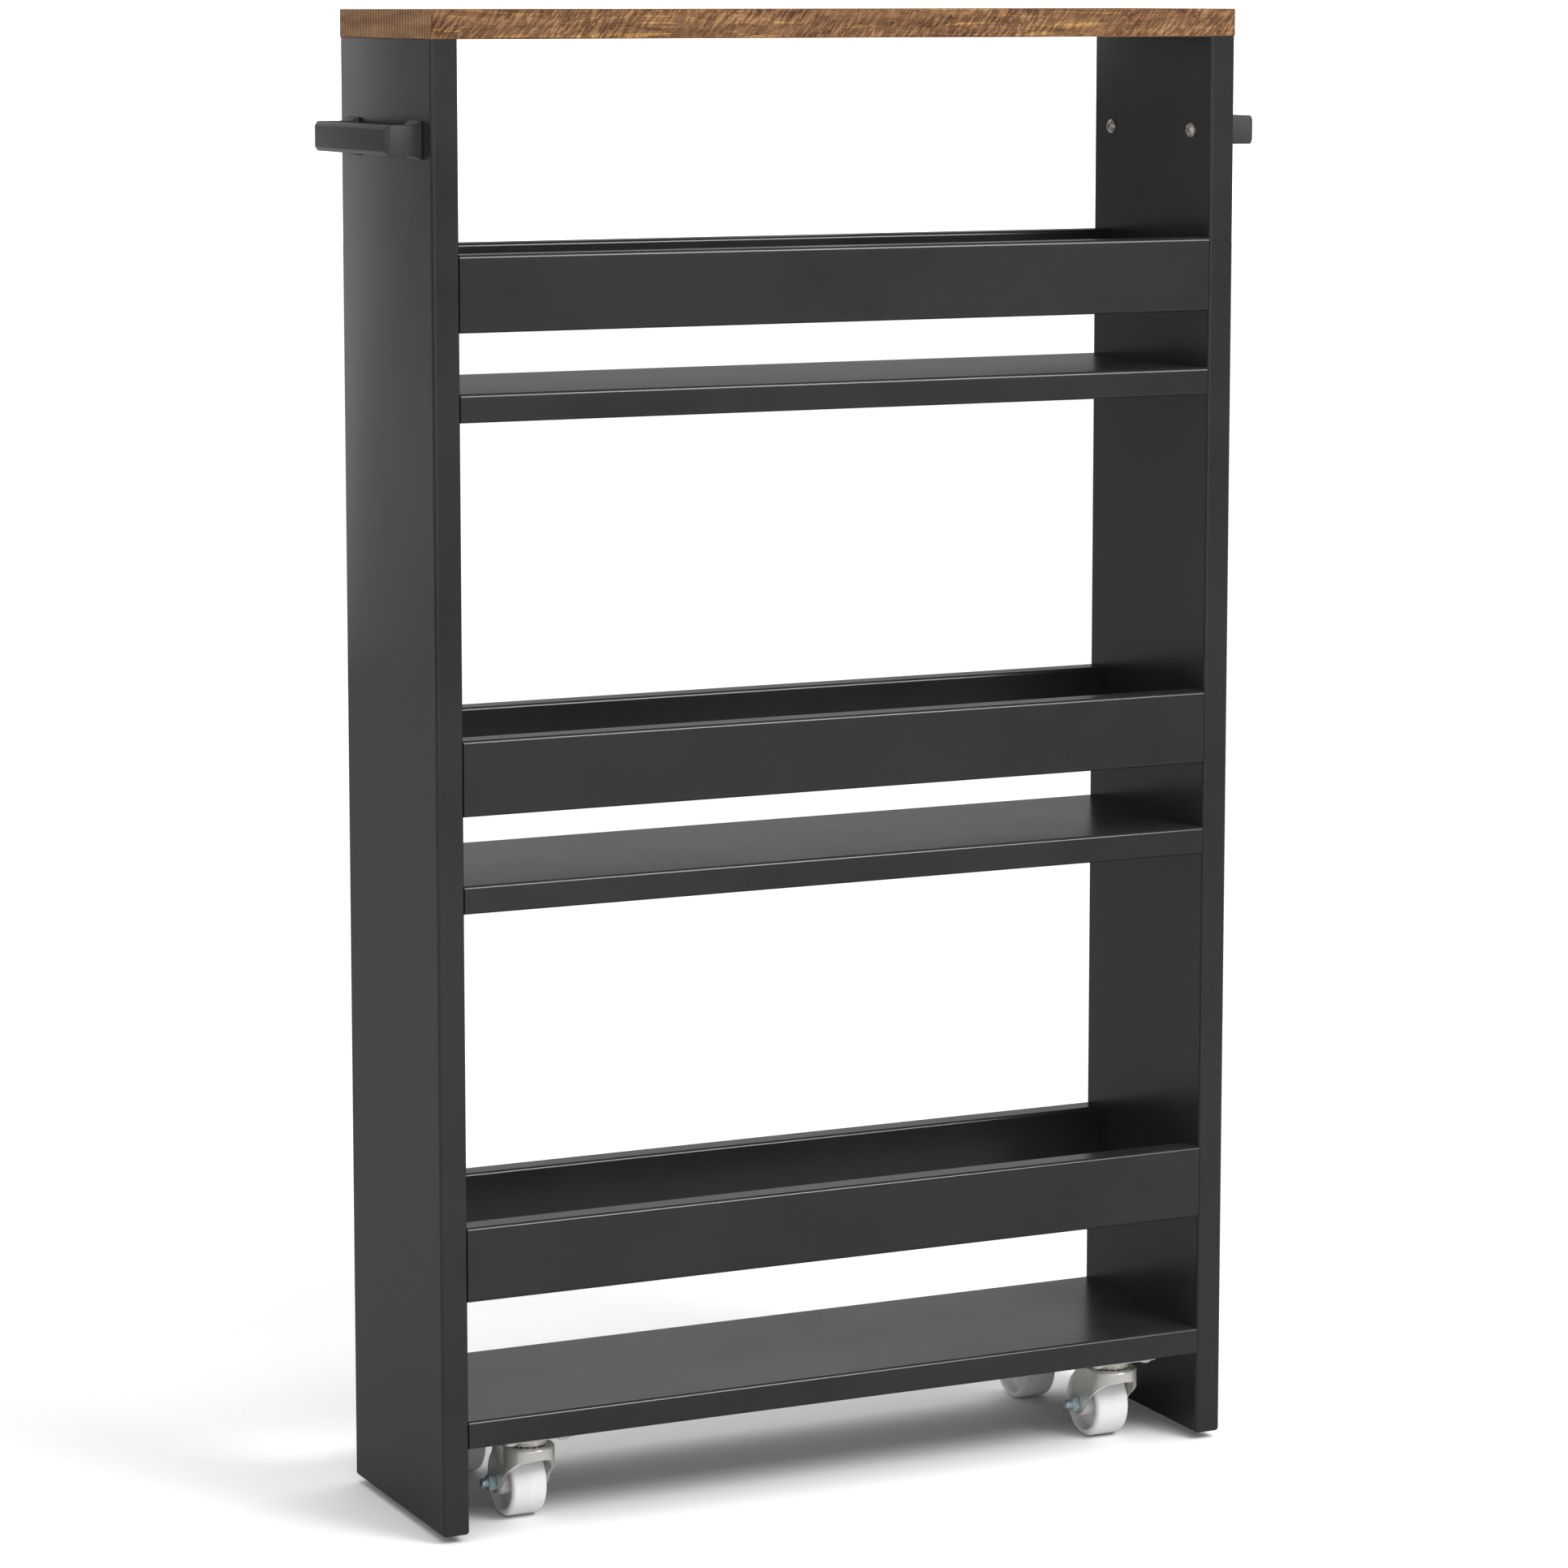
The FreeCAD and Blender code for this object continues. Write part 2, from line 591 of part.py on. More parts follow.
def cam_lock():
    """Cam on the Z axis, driver face down, slotted towards -X for its bolt."""
    radius = "(cam / 2 - cam_play)"
    body = turned("cam_lock", [("0", "0"), (radius, "0"), (radius, CAM_DEPTH), ("0", CAM_DEPTH)])
    slot = sketch_on(body, "YZ_Plane", "-" + radius)
    draw_rectangle(slot, ("-cam_slot / 2", "cam_slot / 2"),
                   ("board / 2 - cam_slot / 2", "board / 2 + cam_slot / 2"))
    pocket(body, slot, radius + " + cam_slot / 2", reverse=True)
    cross_recess(body, "0", "cam_recess", reverse=True)
    return body


def board_ends():
    """Each end of the cabinet: its side, its x and the turns of its fasteners."""
    return [(side, sided(side, INNER), turn("Y", -90 * side), turn("Z", 90 + 90 * side))
            for side in (LEFT, RIGHT)]


def cam_fittings():
    """Cam bolts and cam locks of every shelf and rail."""
    bolts = []
    locks = []
    for side, x, along, facing in board_ends():
        cam_x = sided(side, "(%s - cam_inset)" % INNER)
        for z in SHELVES.values():
            bolts.append((x, "0", z + " + board / 2", along))
            locks.append((cam_x, "0", z, facing))
        for z in RAILS.values():
            for end in (FRONT, BACK):
                y = sided(end, RAIL_LINE)
                bolts.append((x, y, z + " + rail_bolt_rise", along))
                locks.append((cam_x, y + " + board / 2", z + " + rail_bolt_rise",
                              turn("X", 90).multiply(facing)))
    return [group("cam_bolts", cam_bolt(), bolts), group("cam_locks", cam_lock(), locks)]


def dowels():
    """Dowels of the shelves, the rails and the top."""
    shelf_spots = []
    rail_spots = []
    top_spots = []
    for side, x, along, facing in board_ends():
        for end in (FRONT, BACK):
            shelf_spots += [(x, sided(end, SHELF_DOWEL), z + " + board / 2", along)
                            for z in SHELVES.values()]
            rail_spots += [(x, sided(end, RAIL_LINE), "%s + %s" % (z, RAIL_DOWEL), along)
                           for z in RAILS.values()]
            top_spots.append((sided(side, "(width / 2 - board / 2)"), sided(end, TOP_DOWEL),
                              UNDER_TOP, turn("X", 180)))
    thick = dowel_pin("dowel", "dowel", "dowel_length", "dowel_seat")
    thin = dowel_pin("thin_dowel", "rail_dowel", "rail_dowel_length", "rail_dowel_seat")
    return [group("shelf_dowels", thick, shelf_spots), group("rail_dowels", thin, rail_spots),
            group("top_dowels", thick, top_spots)]


def screws():
    """Handle screws through the panels and castor screws into the bottom shelf."""
    long_screw = screw("handle_screw", "screw_thread", "board + screw_grip",
                       "screw_head", "screw_head_height", "screw_recess")
    short_screw = screw("castor_screw", "wood_screw", "plate_sheet + wood_screw_grip",
                        "wood_screw_head", "wood_screw_head_height", "wood_screw_recess")
    line = "%s - handle_drop" % UNDER_TOP
    handle_spots = [(x, sided(end, HANDLE_SCREW), line, along)
                    for side, x, along, facing in board_ends() for end in (FRONT, BACK)]
    plate_spots = [(x, y, PLATE_FACE, turn("X", 180)) for x, y in plate_screw_spots()]
    return [group("handle_screws", long_screw, handle_spots),
            group("castor_plate_screws", short_screw, plate_spots)]


# ---- castors, drawn with the swivel axis on Z and the floor at z = 0 ----

def castor_plate(name):
    """Plate with a dished boss and the upper ball track."""
    body, blank = block(name + "_castor_plate", ("-plate_width / 2", "plate_width / 2"),
                        ("-plate_depth / 2", "plate_depth / 2"), (PLATE_FACE, CASTOR_HEIGHT))
    soften(body, "Fillet", blank, edges_where(blank, runs_along("Z")), "plate_corner")
    boss = sketch_on(body, "XZ_Plane")
    draw_polygon(boss, [("0", BOSS_FACE), ("boss / 2 - boss_taper", BOSS_FACE),
                        ("boss / 2", PLATE_FACE), ("0", PLATE_FACE)])
    spin(body, "Revolution", boss)
    dish = sketch_on(body, "XZ_Plane")
    inside = "boss / 2 - plate_sheet"
    draw_polygon(dish, [("0", DISH_FLOOR), (inside + " - boss_taper", DISH_FLOOR),
                        (inside, CASTOR_HEIGHT), ("0", CASTOR_HEIGHT)])
    spin(body, "Groove", dish)
    drill(body, "XY_Plane", BOSS_FACE, [("0", "0")], "pin / 2", "plate_sheet", reverse=True)
    holes = [(sided(side, "plate_screws_across / 2"), sided(end, "plate_screws_along / 2"))
             for side in (LEFT, RIGHT) for end in (FRONT, BACK)]
    drill(body, "XY_Plane", PLATE_FACE, holes, "wood_screw / 2 + wood_screw_play",
          "plate_sheet", reverse=True)
    cut_ball_track(body)
    return body


def cut_ball_track(body):
    """Round track for the balls, in whichever face they roll on."""
    track = sketch_on(body, "XZ_Plane")
    draw_circle(track, "ball_track", BALL_LINE, "ball / 2 + ball_play")
    spin(body, "Groove", track)


def king_pin(name):
    """Rivet that carries the fork, upset in the plate's dish."""
    foot = "%s - pin_head_height" % CUP_FOOT
    crown = "%s + pin_rivet_height" % DISH_FLOOR
    return turned(name + "_king_pin", [
        ("0", foot), ("pin_head / 2", foot), ("pin_head / 2", CUP_FOOT), ("pin / 2", CUP_FOOT),
        ("pin / 2", DISH_FLOOR), ("pin_rivet / 2", DISH_FLOOR), ("pin_rivet / 2", crown),
        ("0", crown)])


def race_cup(name):
    """Washer on the king pin's head, under the fork."""
    return turned(name + "_race_cup", [
        ("pin / 2", CUP_FOOT), ("cup / 2", CUP_FOOT), ("cup / 2", CUP_TOP), ("pin / 2", CUP_TOP)])


def fork(name):
    """Pressed fork: a round top with a skirt that runs back into two legs."""
    body = new_body(name + "_fork")
    disc = sketch_on(body, "XY_Plane", LEG_FOOT)
    draw_circle(disc, "0", "0", FORK_RADIUS)
    pad(body, disc, "%s - %s" % (FORK_TOP, LEG_FOOT))
    legs = sketch_on(body, "XY_Plane", LEG_FOOT)
    draw_rectangle(legs, ("-" + LEG_OUTER, LEG_OUTER), ("0", LEG_BACK))
    solid = pad(body, legs, "%s - %s" % (FORK_TOP, LEG_FOOT))
    rim = edges_where(solid, lies_at("Z", value(FORK_TOP)))
    soften(body, "Fillet", solid, rim, "fork_round")
    hollow = "%s - %s" % (FORK_UNDER, LEG_FOOT)
    drill(body, "XY_Plane", LEG_FOOT, [("0", "0")], FORK_RADIUS + " - fork_sheet",
          hollow, reverse=True)
    between = sketch_on(body, "XY_Plane", LEG_FOOT)
    draw_rectangle(between, ("-" + LEG_INNER, LEG_INNER), ("0", LEG_BACK + " + leg_end"))
    pocket(body, between, hollow, reverse=True)
    outline = sketch_on(body, "YZ_Plane")
    draw_fork_side(outline)
    pocket(body, outline, ACROSS_FORK, both=True)
    hole = sketch_on(body, "YZ_Plane")
    draw_circle(hole, "castor_trail", AXLE_LINE, "axle / 2")
    pocket(body, hole, ACROSS_FORK, both=True)
    drill(body, "XY_Plane", FORK_UNDER, [("0", "0")], "pin / 2 + pin_play",
          "fork_sheet", reverse=True)
    cut_ball_track(body)
    return body


def draw_fork_side(sketch):
    """All that lies outside the fork's side view: a frame round its outline."""
    margin = "leg_end"
    front = "(-%s - fork_sheet)" % FORK_RADIUS
    over = "(%s + fork_sheet)" % FORK_TOP
    draw_rectangle(sketch, ("%s - %s" % (front, margin), "%s + %s" % (LEG_BACK, margin)),
                   ("%s - %s" % (LEG_FOOT, margin), "%s + %s" % (over, margin)))
    corners = [
        (front, over),
        ("castor_trail + leg_lean", over),
        ("castor_trail - waist_reach", AXLE_LINE + " + waist_rise"),
        ("shoulder_back - " + FORK_RADIUS, FORK_TOP + " - skirt_shoulder"),
        (front, FORK_TOP + " - skirt_front"),
    ]
    spots = [FreeCAD.Vector(value(x), value(y), 0) for x, y in corners]
    axle = FreeCAD.Vector(value("castor_trail"), value(AXLE_LINE), 0)
    radius = value("leg_end")
    back = touch_angle(axle, radius, spots[1], -1)
    waist = touch_angle(axle, radius, spots[2], 1)
    circle = Part.Circle(axle, FreeCAD.Vector(0, 0, 1), radius)
    arc = Part.ArcOfCircle(circle, waist, back + 2 * math.pi)
    pieces = [Part.LineSegment(spots[0], spots[1]), Part.LineSegment(spots[1], arc.EndPoint),
              arc, Part.LineSegment(arc.StartPoint, spots[2])]
    pieces += [Part.LineSegment(spots[index], spots[(index + 1) % 5]) for index in (2, 3, 4)]
    top, rear, end, shin, brow, lip, nose = [sketch.addGeometry(piece, False)
                                             for piece in pieces]
    for before, after in ((top, rear), (shin, brow), (brow, lip), (lip, nose), (nose, top)):
        sketch.addConstraint(Sketcher.Constraint("Coincident", before, 2, after, 1))
    sketch.addConstraint(Sketcher.Constraint("Tangent", rear, 2, end, 2))
    sketch.addConstraint(Sketcher.Constraint("Tangent", end, 1, shin, 1))
    for index, (x, y) in zip((top, rear, brow, lip, nose), corners):
        hold_point(sketch, index, 1, x, y)
    hold_point(sketch, end, 3, "castor_trail", AXLE_LINE)
    number = sketch.addConstraint(Sketcher.Constraint("Radius", end, radius))
    sketch.setExpression("Constraints[%d]" % number, linked("leg_end"))


def touch_angle(centre, radius, point, hand):
    """Angle on a circle where a line from an outside point touches it."""
    ray = point - centre
    return math.atan2(ray.y, ray.x) + hand * math.acos(radius / ray.Length)


def wheel(name):
    """Plastic wheel turned about X, with a recessed web and a long hub."""
    edge, tread = "wheel_width / 2", "wheel / 2"
    well, face = tread + " - wheel_rim", "wheel_web / 2"
    hub, nose = "hub / 2", "(%s + hub_stand)" % edge
    bore = "bush / 2 + bush_play"
    half = [(nose, bore), (nose, hub), (face, hub), (face, well), (edge, well), (edge, tread)]
    corners = half + [("-" + x, radius) for x, radius in reversed(half)]
    body = turned(name + "_wheel", corners, "H_Axis")
    tread_radius = value(tread)
    rim = edges_where(body.Tip, lambda edge: hasattr(edge.Curve, "Radius")
                      and abs(edge.Curve.Radius - tread_radius) < NEAR)
    soften(body, "Fillet", body.Tip, rim, "wheel_round")
    return body


def axle_bush(name):
    """Bush that spans the fork's legs, with the wheel running on it."""
    return turned(name + "_axle_bush", [
        ("-" + LEG_INNER, "axle / 2"), (LEG_INNER, "axle / 2"), (LEG_INNER, "bush / 2"),
        ("-" + LEG_INNER, "bush / 2")], "H_Axis")


def axle_bolt(name):
    """Hexagon bolt along X, its head on the +X leg."""
    body = new_body(name + "_axle_bolt")
    tip = "(%s + axle_nut + axle_end)" % LEG_OUTER
    shank = sketch_on(body, "YZ_Plane", "-" + tip)
    draw_circle(shank, "0", "0", "axle / 2")
    rod = pad(body, shank, "%s + %s" % (tip, LEG_OUTER))
    soften(body, "Chamfer", rod, edges_where(rod, lies_at("X", -value(tip))), "axle_bevel")
    head = sketch_on(body, "YZ_Plane", LEG_OUTER)
    draw_hexagon(head, "axle_hex", "0", "0")
    pad(body, head, "axle_head")
    return body


def axle_nut(name):
    """Hexagon nut along X, on the -X leg."""
    body = new_body(name + "_axle_nut")
    sketch = sketch_on(body, "YZ_Plane", "-%s - axle_nut" % LEG_OUTER)
    draw_hexagon(sketch, "axle_hex", "0", "0")
    draw_circle(sketch, "0", "0", "axle / 2")
    pad(body, sketch, "axle_nut")
    return body


def swivel_balls(name, ball, x, y):
    """Ring of balls between the plate and the fork."""
    spots = []
    for number in range(BALLS):
        angle = 2 * math.pi * number / BALLS
        spots.append(("%s + %.6f * ball_track" % (x, math.cos(angle)),
                      "%s + %.6f * ball_track" % (y, math.sin(angle)),
                      BALL_LINE, FreeCAD.Rotation()))
    return group(name + "_swivel_balls", ball, spots)


def castors():
    """Every piece of the four castors."""
    ball = DOC.addObject("Part::Sphere", "ball")
    ball.setExpression("Radius", linked("ball / 2"))
    nodes = []
    for name, (x, y) in castor_spots().items():
        nodes += [place(piece(name), x, y) for piece in (castor_plate, king_pin, race_cup, fork)]
        nodes += [place(piece(name), x, y + " + castor_trail", AXLE_LINE)
                  for piece in (wheel, axle_bush, axle_bolt, axle_nut)]
        nodes.append(swivel_balls(name, ball, x, y))
    return nodes


# ---- the whole cart ----

def build_cart():
    """Every node of the cart."""
    nodes = [top_board(), side_panel("left_side_panel", LEFT)]
    nodes.append(side_panel("right_side_panel", RIGHT))
    nodes += [shelf(name, height) for name, height in SHELVES.items()]
    nodes += [rail(level, end, height) for level, height in RAILS.items()
              for end in (FRONT, BACK)]
    nodes += [handle("left_handle", LEFT), handle("right_handle", RIGHT)]
    nodes += screws() + dowels() + cam_fittings() + castors()
    return nodes


def check_document(nodes):
    """Stop if any object failed, or if any node's shape is empty or not valid."""
    for item in DOC.Objects:
        if {"Invalid", "Error"} & set(item.State):
            raise RuntimeError("%s failed: %s" % (item.Label, item.State))
    for node in nodes:
        if node.Shape.isNull() or not node.Shape.isValid() or not node.Shape.Solids:
            raise RuntimeError("%s has no valid solid" % node.Label)


def write_parts(nodes):
    """Write each node's solids to its own file."""
    os.makedirs("parts", exist_ok=True)
    for node in nodes:
        node.Shape.exportStep("parts/%s.step" % node.Label)


fill_sheet()
NODES = build_cart()
DOC.recompute()
check_document(NODES)
write_parts(NODES)
print("%d nodes, %d solids" % (len(NODES), sum(len(node.Shape.Solids) for node in NODES)))
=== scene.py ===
import logging
import math
from collections.abc import Callable, Mapping, Sequence
from dataclasses import dataclass, field
from enum import Enum

import bmesh
import bpy
from mathutils import Matrix, Vector


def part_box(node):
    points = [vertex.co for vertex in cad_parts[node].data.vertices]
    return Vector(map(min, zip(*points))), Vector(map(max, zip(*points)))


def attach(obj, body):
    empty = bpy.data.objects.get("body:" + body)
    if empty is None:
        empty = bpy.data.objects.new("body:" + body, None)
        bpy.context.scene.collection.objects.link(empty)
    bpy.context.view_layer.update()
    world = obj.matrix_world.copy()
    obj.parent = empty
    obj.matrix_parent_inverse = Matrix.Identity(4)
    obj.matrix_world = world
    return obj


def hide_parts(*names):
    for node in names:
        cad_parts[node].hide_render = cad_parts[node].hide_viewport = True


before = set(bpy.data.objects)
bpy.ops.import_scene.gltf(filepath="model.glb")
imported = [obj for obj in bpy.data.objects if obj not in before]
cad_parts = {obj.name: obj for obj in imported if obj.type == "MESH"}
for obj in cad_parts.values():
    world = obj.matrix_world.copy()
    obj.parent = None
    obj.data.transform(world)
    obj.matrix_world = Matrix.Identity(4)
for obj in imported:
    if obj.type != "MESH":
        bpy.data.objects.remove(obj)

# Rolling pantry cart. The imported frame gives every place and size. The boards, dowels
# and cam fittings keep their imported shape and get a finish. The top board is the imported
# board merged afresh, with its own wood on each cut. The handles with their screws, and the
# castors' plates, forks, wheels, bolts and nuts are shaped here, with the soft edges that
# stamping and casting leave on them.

log = logging.getLogger("pantry_cart")

Colour = tuple[float, float, float]
Socket = bpy.types.NodeSocket
Given = Socket | float | int | str | tuple[float, ...]

MM = 0.001
MERGE = 1e-7
FLAT = 1e-6


def put_in_scene(piece: bpy.types.Object) -> bpy.types.Object:
    """Links an object to the scene and gives it back."""
    bpy.context.scene.collection.objects.link(piece)
    return piece


class Side(Enum):
    """The two ends of the cart, as the sign of X."""

    LEFT = -1
    RIGHT = 1


class Corner(Enum):
    """The four castors, by the prefix of their nodes."""

    FRONT_LEFT = "front_left"
    FRONT_RIGHT = "front_right"
    BACK_LEFT = "back_left"
    BACK_RIGHT = "back_right"


class WoodCut(Enum):
    """Which way the saw went through the wood top."""

    FACE = "wood_face"
    LONG_EDGE = "wood_long_edge"
    END = "wood_end"


class Carve(Enum):
    """How one piece shapes another."""

    UNITE = "UNION"
    CUT = "DIFFERENCE"
    KEEP_COMMON = "INTERSECT"


# ---------------------------------------------------------------- shader wiring


class Wiring:
    """Adds nodes to one node tree and joins them."""

    def __init__(self, tree: bpy.types.NodeTree) -> None:
        """Keeps the tree that the nodes go into."""
        self.tree = tree

    def add(self, kind: str, given: Mapping[str | int, Given] | None = None,
            **settings: object) -> bpy.types.Node:
        """Adds one node.

        Args:
            kind: The node's type name.
            given: A socket to join, or a constant, for each input named.
            **settings: The node's own properties.

        Returns:
            The new node.
        """
        node = self.tree.nodes.new(kind)
        for name, setting in settings.items():
            setattr(node, name, setting)
        for name, value in (given or {}).items():
            self.feed(node.inputs[name], value)
        return node

    def feed(self, socket: Socket, value: Given) -> None:
        """Joins a socket to another one, or sets it to a constant.

        Args:
            socket: The input to feed.
            value: A socket, or a constant.
        """
        if isinstance(value, Socket):
            self.tree.links.new(value, socket)
        else:
            socket.default_value = value

    def maths(self, operation: str, first: Given, second: Given = 0.0,
              clamp: bool = False) -> Socket:
        """Adds a Math node and gives its result."""
        node = self.add("ShaderNodeMath", {0: first, 1: second}, operation=operation,
                        use_clamp=clamp)
        return node.outputs[0]

    def times(self, first: Given, second: Given) -> Socket:
        """Multiplies two values."""
        return self.maths("MULTIPLY", first, second)

    def blend(self, share: Given, first: Colour | Socket, second: Colour) -> Socket:
        """Mixes two colours.

        Args:
            share: How much of the second colour goes into the first, from 0 to 1.
            first: The first colour.
            second: The second colour.

        Returns:
            The mixed colour.
        """
        pair = [value if isinstance(value, Socket) else (*value, 1.0)
                for value in (first, second)]
        node = self.add("ShaderNodeMix", {0: share, 6: pair[0], 7: pair[1]}, data_type="RGBA")
        return node.outputs[2]

    def span(self, value: Given, low: float, high: float, out_low: float = 0.0,
             out_high: float = 1.0) -> Socket:
        """Maps a value smoothly from one span to another."""
        node = self.add("ShaderNodeMapRange", {0: value, 1: low, 2: high, 3: out_low, 4: out_high},
                        interpolation_type="SMOOTHSTEP")
        return node.outputs[0]

    def stretched(self, place: Given, scale: tuple[float, float, float]) -> Socket:
        """Gives a place multiplied along each axis."""
        return self.add("ShaderNodeVectorMath", {0: place, 1: scale},
                        operation="MULTIPLY").outputs[0]

    def noise(self, place: Given, scale: Given = 1.0, detail: float = 3.0, rough: float = 0.5,
              warp: float = 0.0) -> Socket:
        """Adds a Noise texture and gives its value."""
        node = self.add("ShaderNodeTexNoise", {"Vector": place, "Scale": scale, "Detail": detail,
                                               "Roughness": rough, "Distortion": warp})
        return node.outputs[0]

    def grain(self, place: Given, along: float, across: float, detail: float = 3.0,
              rough: float = 0.5, warp: float = 0.0) -> Socket:
        """Adds noise that has its own scale along X and along Y."""
        return self.noise(self.stretched(place, (along, across, 1.0)), 1.0, detail, rough, warp)

    def ramp(self, value: Given, stops: Sequence[tuple[float, Colour]]) -> Socket:
        """Turns a value into a colour.

        Args:
            value: The value, from 0 to 1.
            stops: A place and a colour for each stop.

        Returns:
            The colour.
        """
        node = self.add("ShaderNodeValToRGB", {0: value})
        stripes = node.color_ramp.elements
        while len(stripes) < len(stops):
            stripes.new(0.5)
        for stripe, (place, colour) in zip(stripes, stops):
            stripe.position = place
            stripe.color = (*colour, 1.0)
        return node.outputs[0]

    def object_place(self) -> Socket:
        """Gives the place on the piece, in metres."""
        return self.add("ShaderNodeTexCoord").outputs["Object"]


class Effect:
    """A shader node group that several finishes share, built once."""

    built: dict[str, bpy.types.NodeTree] = {}

    def __init__(self, name: str, inputs: Mapping[str, float], outputs: Sequence[str]) -> None:
        """Makes the group's sockets.

        Args:
            name: The group's name.
            inputs: The usual value of each input beside the place.
            outputs: The name of each output.
        """
        tree = bpy.data.node_groups.new(name, "ShaderNodeTree")
        face = tree.interface
        face.new_socket("Place", in_out="INPUT", socket_type="NodeSocketVector")
        for label, usual in inputs.items():
            socket = face.new_socket(label, in_out="INPUT", socket_type="NodeSocketFloat")
            socket.default_value = usual
        for label in outputs:
            kind = "NodeSocketColor" if label == "Colour" else "NodeSocketFloat"
            face.new_socket(label, in_out="OUTPUT", socket_type=kind)
        self.wiring = Wiring(tree)
        self.given = self.wiring.add("NodeGroupInput").outputs
        self.result = self.wiring.add("NodeGroupOutput").inputs
        Effect.built[name] = tree

    @staticmethod
    def placed(wiring: Wiring, name: str, given: Mapping[str | int, Given]) -> bpy.types.Node:
        """Puts a built group into a material, with the material's own values."""
        return wiring.add("ShaderNodeGroup", given, node_tree=Effect.built[name])


class SharedEffects:
    """Builds every effect that more than one finish uses."""

    def build(self) -> None:
        """Builds the groups."""
        self.sprayed_skin()
        self.rustic_grain()
        self.fine_rub()
        self.settled_dust()

    def sprayed_skin(self) -> None:
        """The fine peel and the slow clouds of a sprayed or moulded skin."""
        effect = Effect("sprayed_skin", {"Peel Size": 900.0, "Cloud Size": 9.0},
                        ("Height", "Cloud"))
        wiring, given = effect.wiring, effect.given
        fine = wiring.noise(given["Place"], given["Peel Size"], 2.0)
        slow = wiring.noise(given["Place"], given["Cloud Size"], 4.0, 0.6)
        wiring.feed(effect.result["Height"], fine)
        wiring.feed(effect.result["Cloud"], slow)

    def rustic_grain(self) -> None:
        """Rough-sawn brown wood: long fibres, slanting saw marks, pale streaks and pits, and a
        painted light lift of the whole tone.
        """
        effect = Effect("rustic_grain", {"Saw Turn": 0.7, "Saw Depth": 1.0, "Line Depth": 0.0,
                                         "Line Gap": 0.0038, "Streaks": 1.0, "Lift": 0.0},
                        ("Colour", "Height", "Gloss"))
        wiring, given = effect.wiring, effect.given
        place = given["Place"]
        broad = wiring.grain(place, 14.0, 130.0, detail=4.0, warp=0.4)
        fibre = wiring.grain(place, 90.0, 1500.0, detail=5.0, rough=0.7)
        vein = wiring.grain(place, 22.0, 420.0, detail=3.0, warp=0.6)
        speck = wiring.grain(place, 210.0, 480.0, detail=2.0, warp=0.8)
        pits = wiring.times(wiring.span(speck, 0.66, 0.74), given["Saw Depth"])
        marks = wiring.maths("ADD", self.saw_teeth(wiring, given),
                             self.growth_lines(wiring, given), clamp=True)
        tone = wiring.maths("ADD", wiring.times(broad, 0.70), wiring.times(fibre, 0.42))
        # Painted light: the lift raises the whole tone of a cut that gets too little light.
        tone = wiring.maths("ADD", tone, given["Lift"])
        tone = wiring.maths("SUBTRACT", tone, wiring.times(marks, 0.25), clamp=True)
        brown = wiring.ramp(tone, [(0.16, (0.030, 0.012, 0.005)), (0.36, (0.095, 0.043, 0.018)),
                                   (0.56, (0.190, 0.094, 0.041)), (0.78, (0.310, 0.172, 0.078))])
        pale = wiring.times(wiring.span(vein, 0.56, 0.68), given["Streaks"])
        pale = wiring.times(pale, wiring.maths("SUBTRACT", 1.0, marks, clamp=True))
        colour = wiring.blend(wiring.times(pale, 0.75), brown, (0.41, 0.225, 0.070))
        colour = wiring.blend(wiring.times(pits, 0.85), colour, (0.030, 0.016, 0.010))
        height = wiring.maths("SUBTRACT", wiring.times(fibre, 0.45), marks)
        height = wiring.maths("SUBTRACT", height, pits)
        wiring.feed(effect.result["Colour"], colour)
        wiring.feed(effect.result["Height"], height)
        wiring.feed(effect.result["Gloss"], wiring.maths("ADD", fibre, pale))

    @staticmethod
    def saw_teeth(wiring: Wiring, given: bpy.types.NodeOutputs) -> Socket:
        """Slanting bites of the saw, in patches.

        Args:
            wiring: The group's wiring.
            given: The group's inputs.

        Returns:
            How deep the bites are, from 0 to the saw's depth.
        """
        place = given["Place"]
        turned = wiring.add("ShaderNodeVectorRotate",
                            {"Vector": place, "Angle": given["Saw Turn"]},
                            rotation_type="Z_AXIS").outputs[0]
        teeth = wiring.grain(turned, 640.0, 120.0, detail=4.0, rough=0.65, warp=0.5)
        patch = wiring.span(wiring.grain(place, 16.0, 60.0, detail=2.0), 0.35, 0.60, 0.40, 1.0)
        bite = wiring.times(wiring.span(teeth, 0.44, 0.60), patch)
        return wiring.times(bite, given["Saw Depth"])

    @staticmethod
    def growth_lines(wiring: Wiring, given: bpy.types.NodeOutputs) -> Socket:
        """Wobbling lines across the end of the wood.

        Args:
            wiring: The group's wiring.
            given: The group's inputs.

        Returns:
            How deep the lines are, from 0 to the lines' depth.
        """
        place = given["Place"]
        along = wiring.add("ShaderNodeSeparateXYZ", {0: place}).outputs[0]
        wobble = wiring.times(wiring.grain(place, 60.0, 120.0), 4.0)
        phase = wiring.maths("DIVIDE", wiring.times(along, math.tau), given["Line Gap"])
        lines = wiring.maths("SINE", wiring.maths("ADD", phase, wobble))
        return wiring.times(wiring.span(lines, -0.6, 0.9), given["Line Depth"])

    def fine_rub(self) -> None:
        """Fine random rubbing and faint blotches on plated and cast metal."""
        effect = Effect("fine_rub", {"Rub Size": 500.0}, ("Rub", "Blotch"))
        wiring, given = effect.wiring, effect.given
        drawn = wiring.stretched(given["Place"], (1.0, 1.0, 0.12))
        rub = wiring.noise(drawn, given["Rub Size"], 5.0, 0.7)
        blotch = wiring.noise(given["Place"], 130.0, 3.0)
        wiring.feed(effect.result["Rub"], rub)
        wiring.feed(effect.result["Blotch"], wiring.span(blotch, 0.2, 0.8))

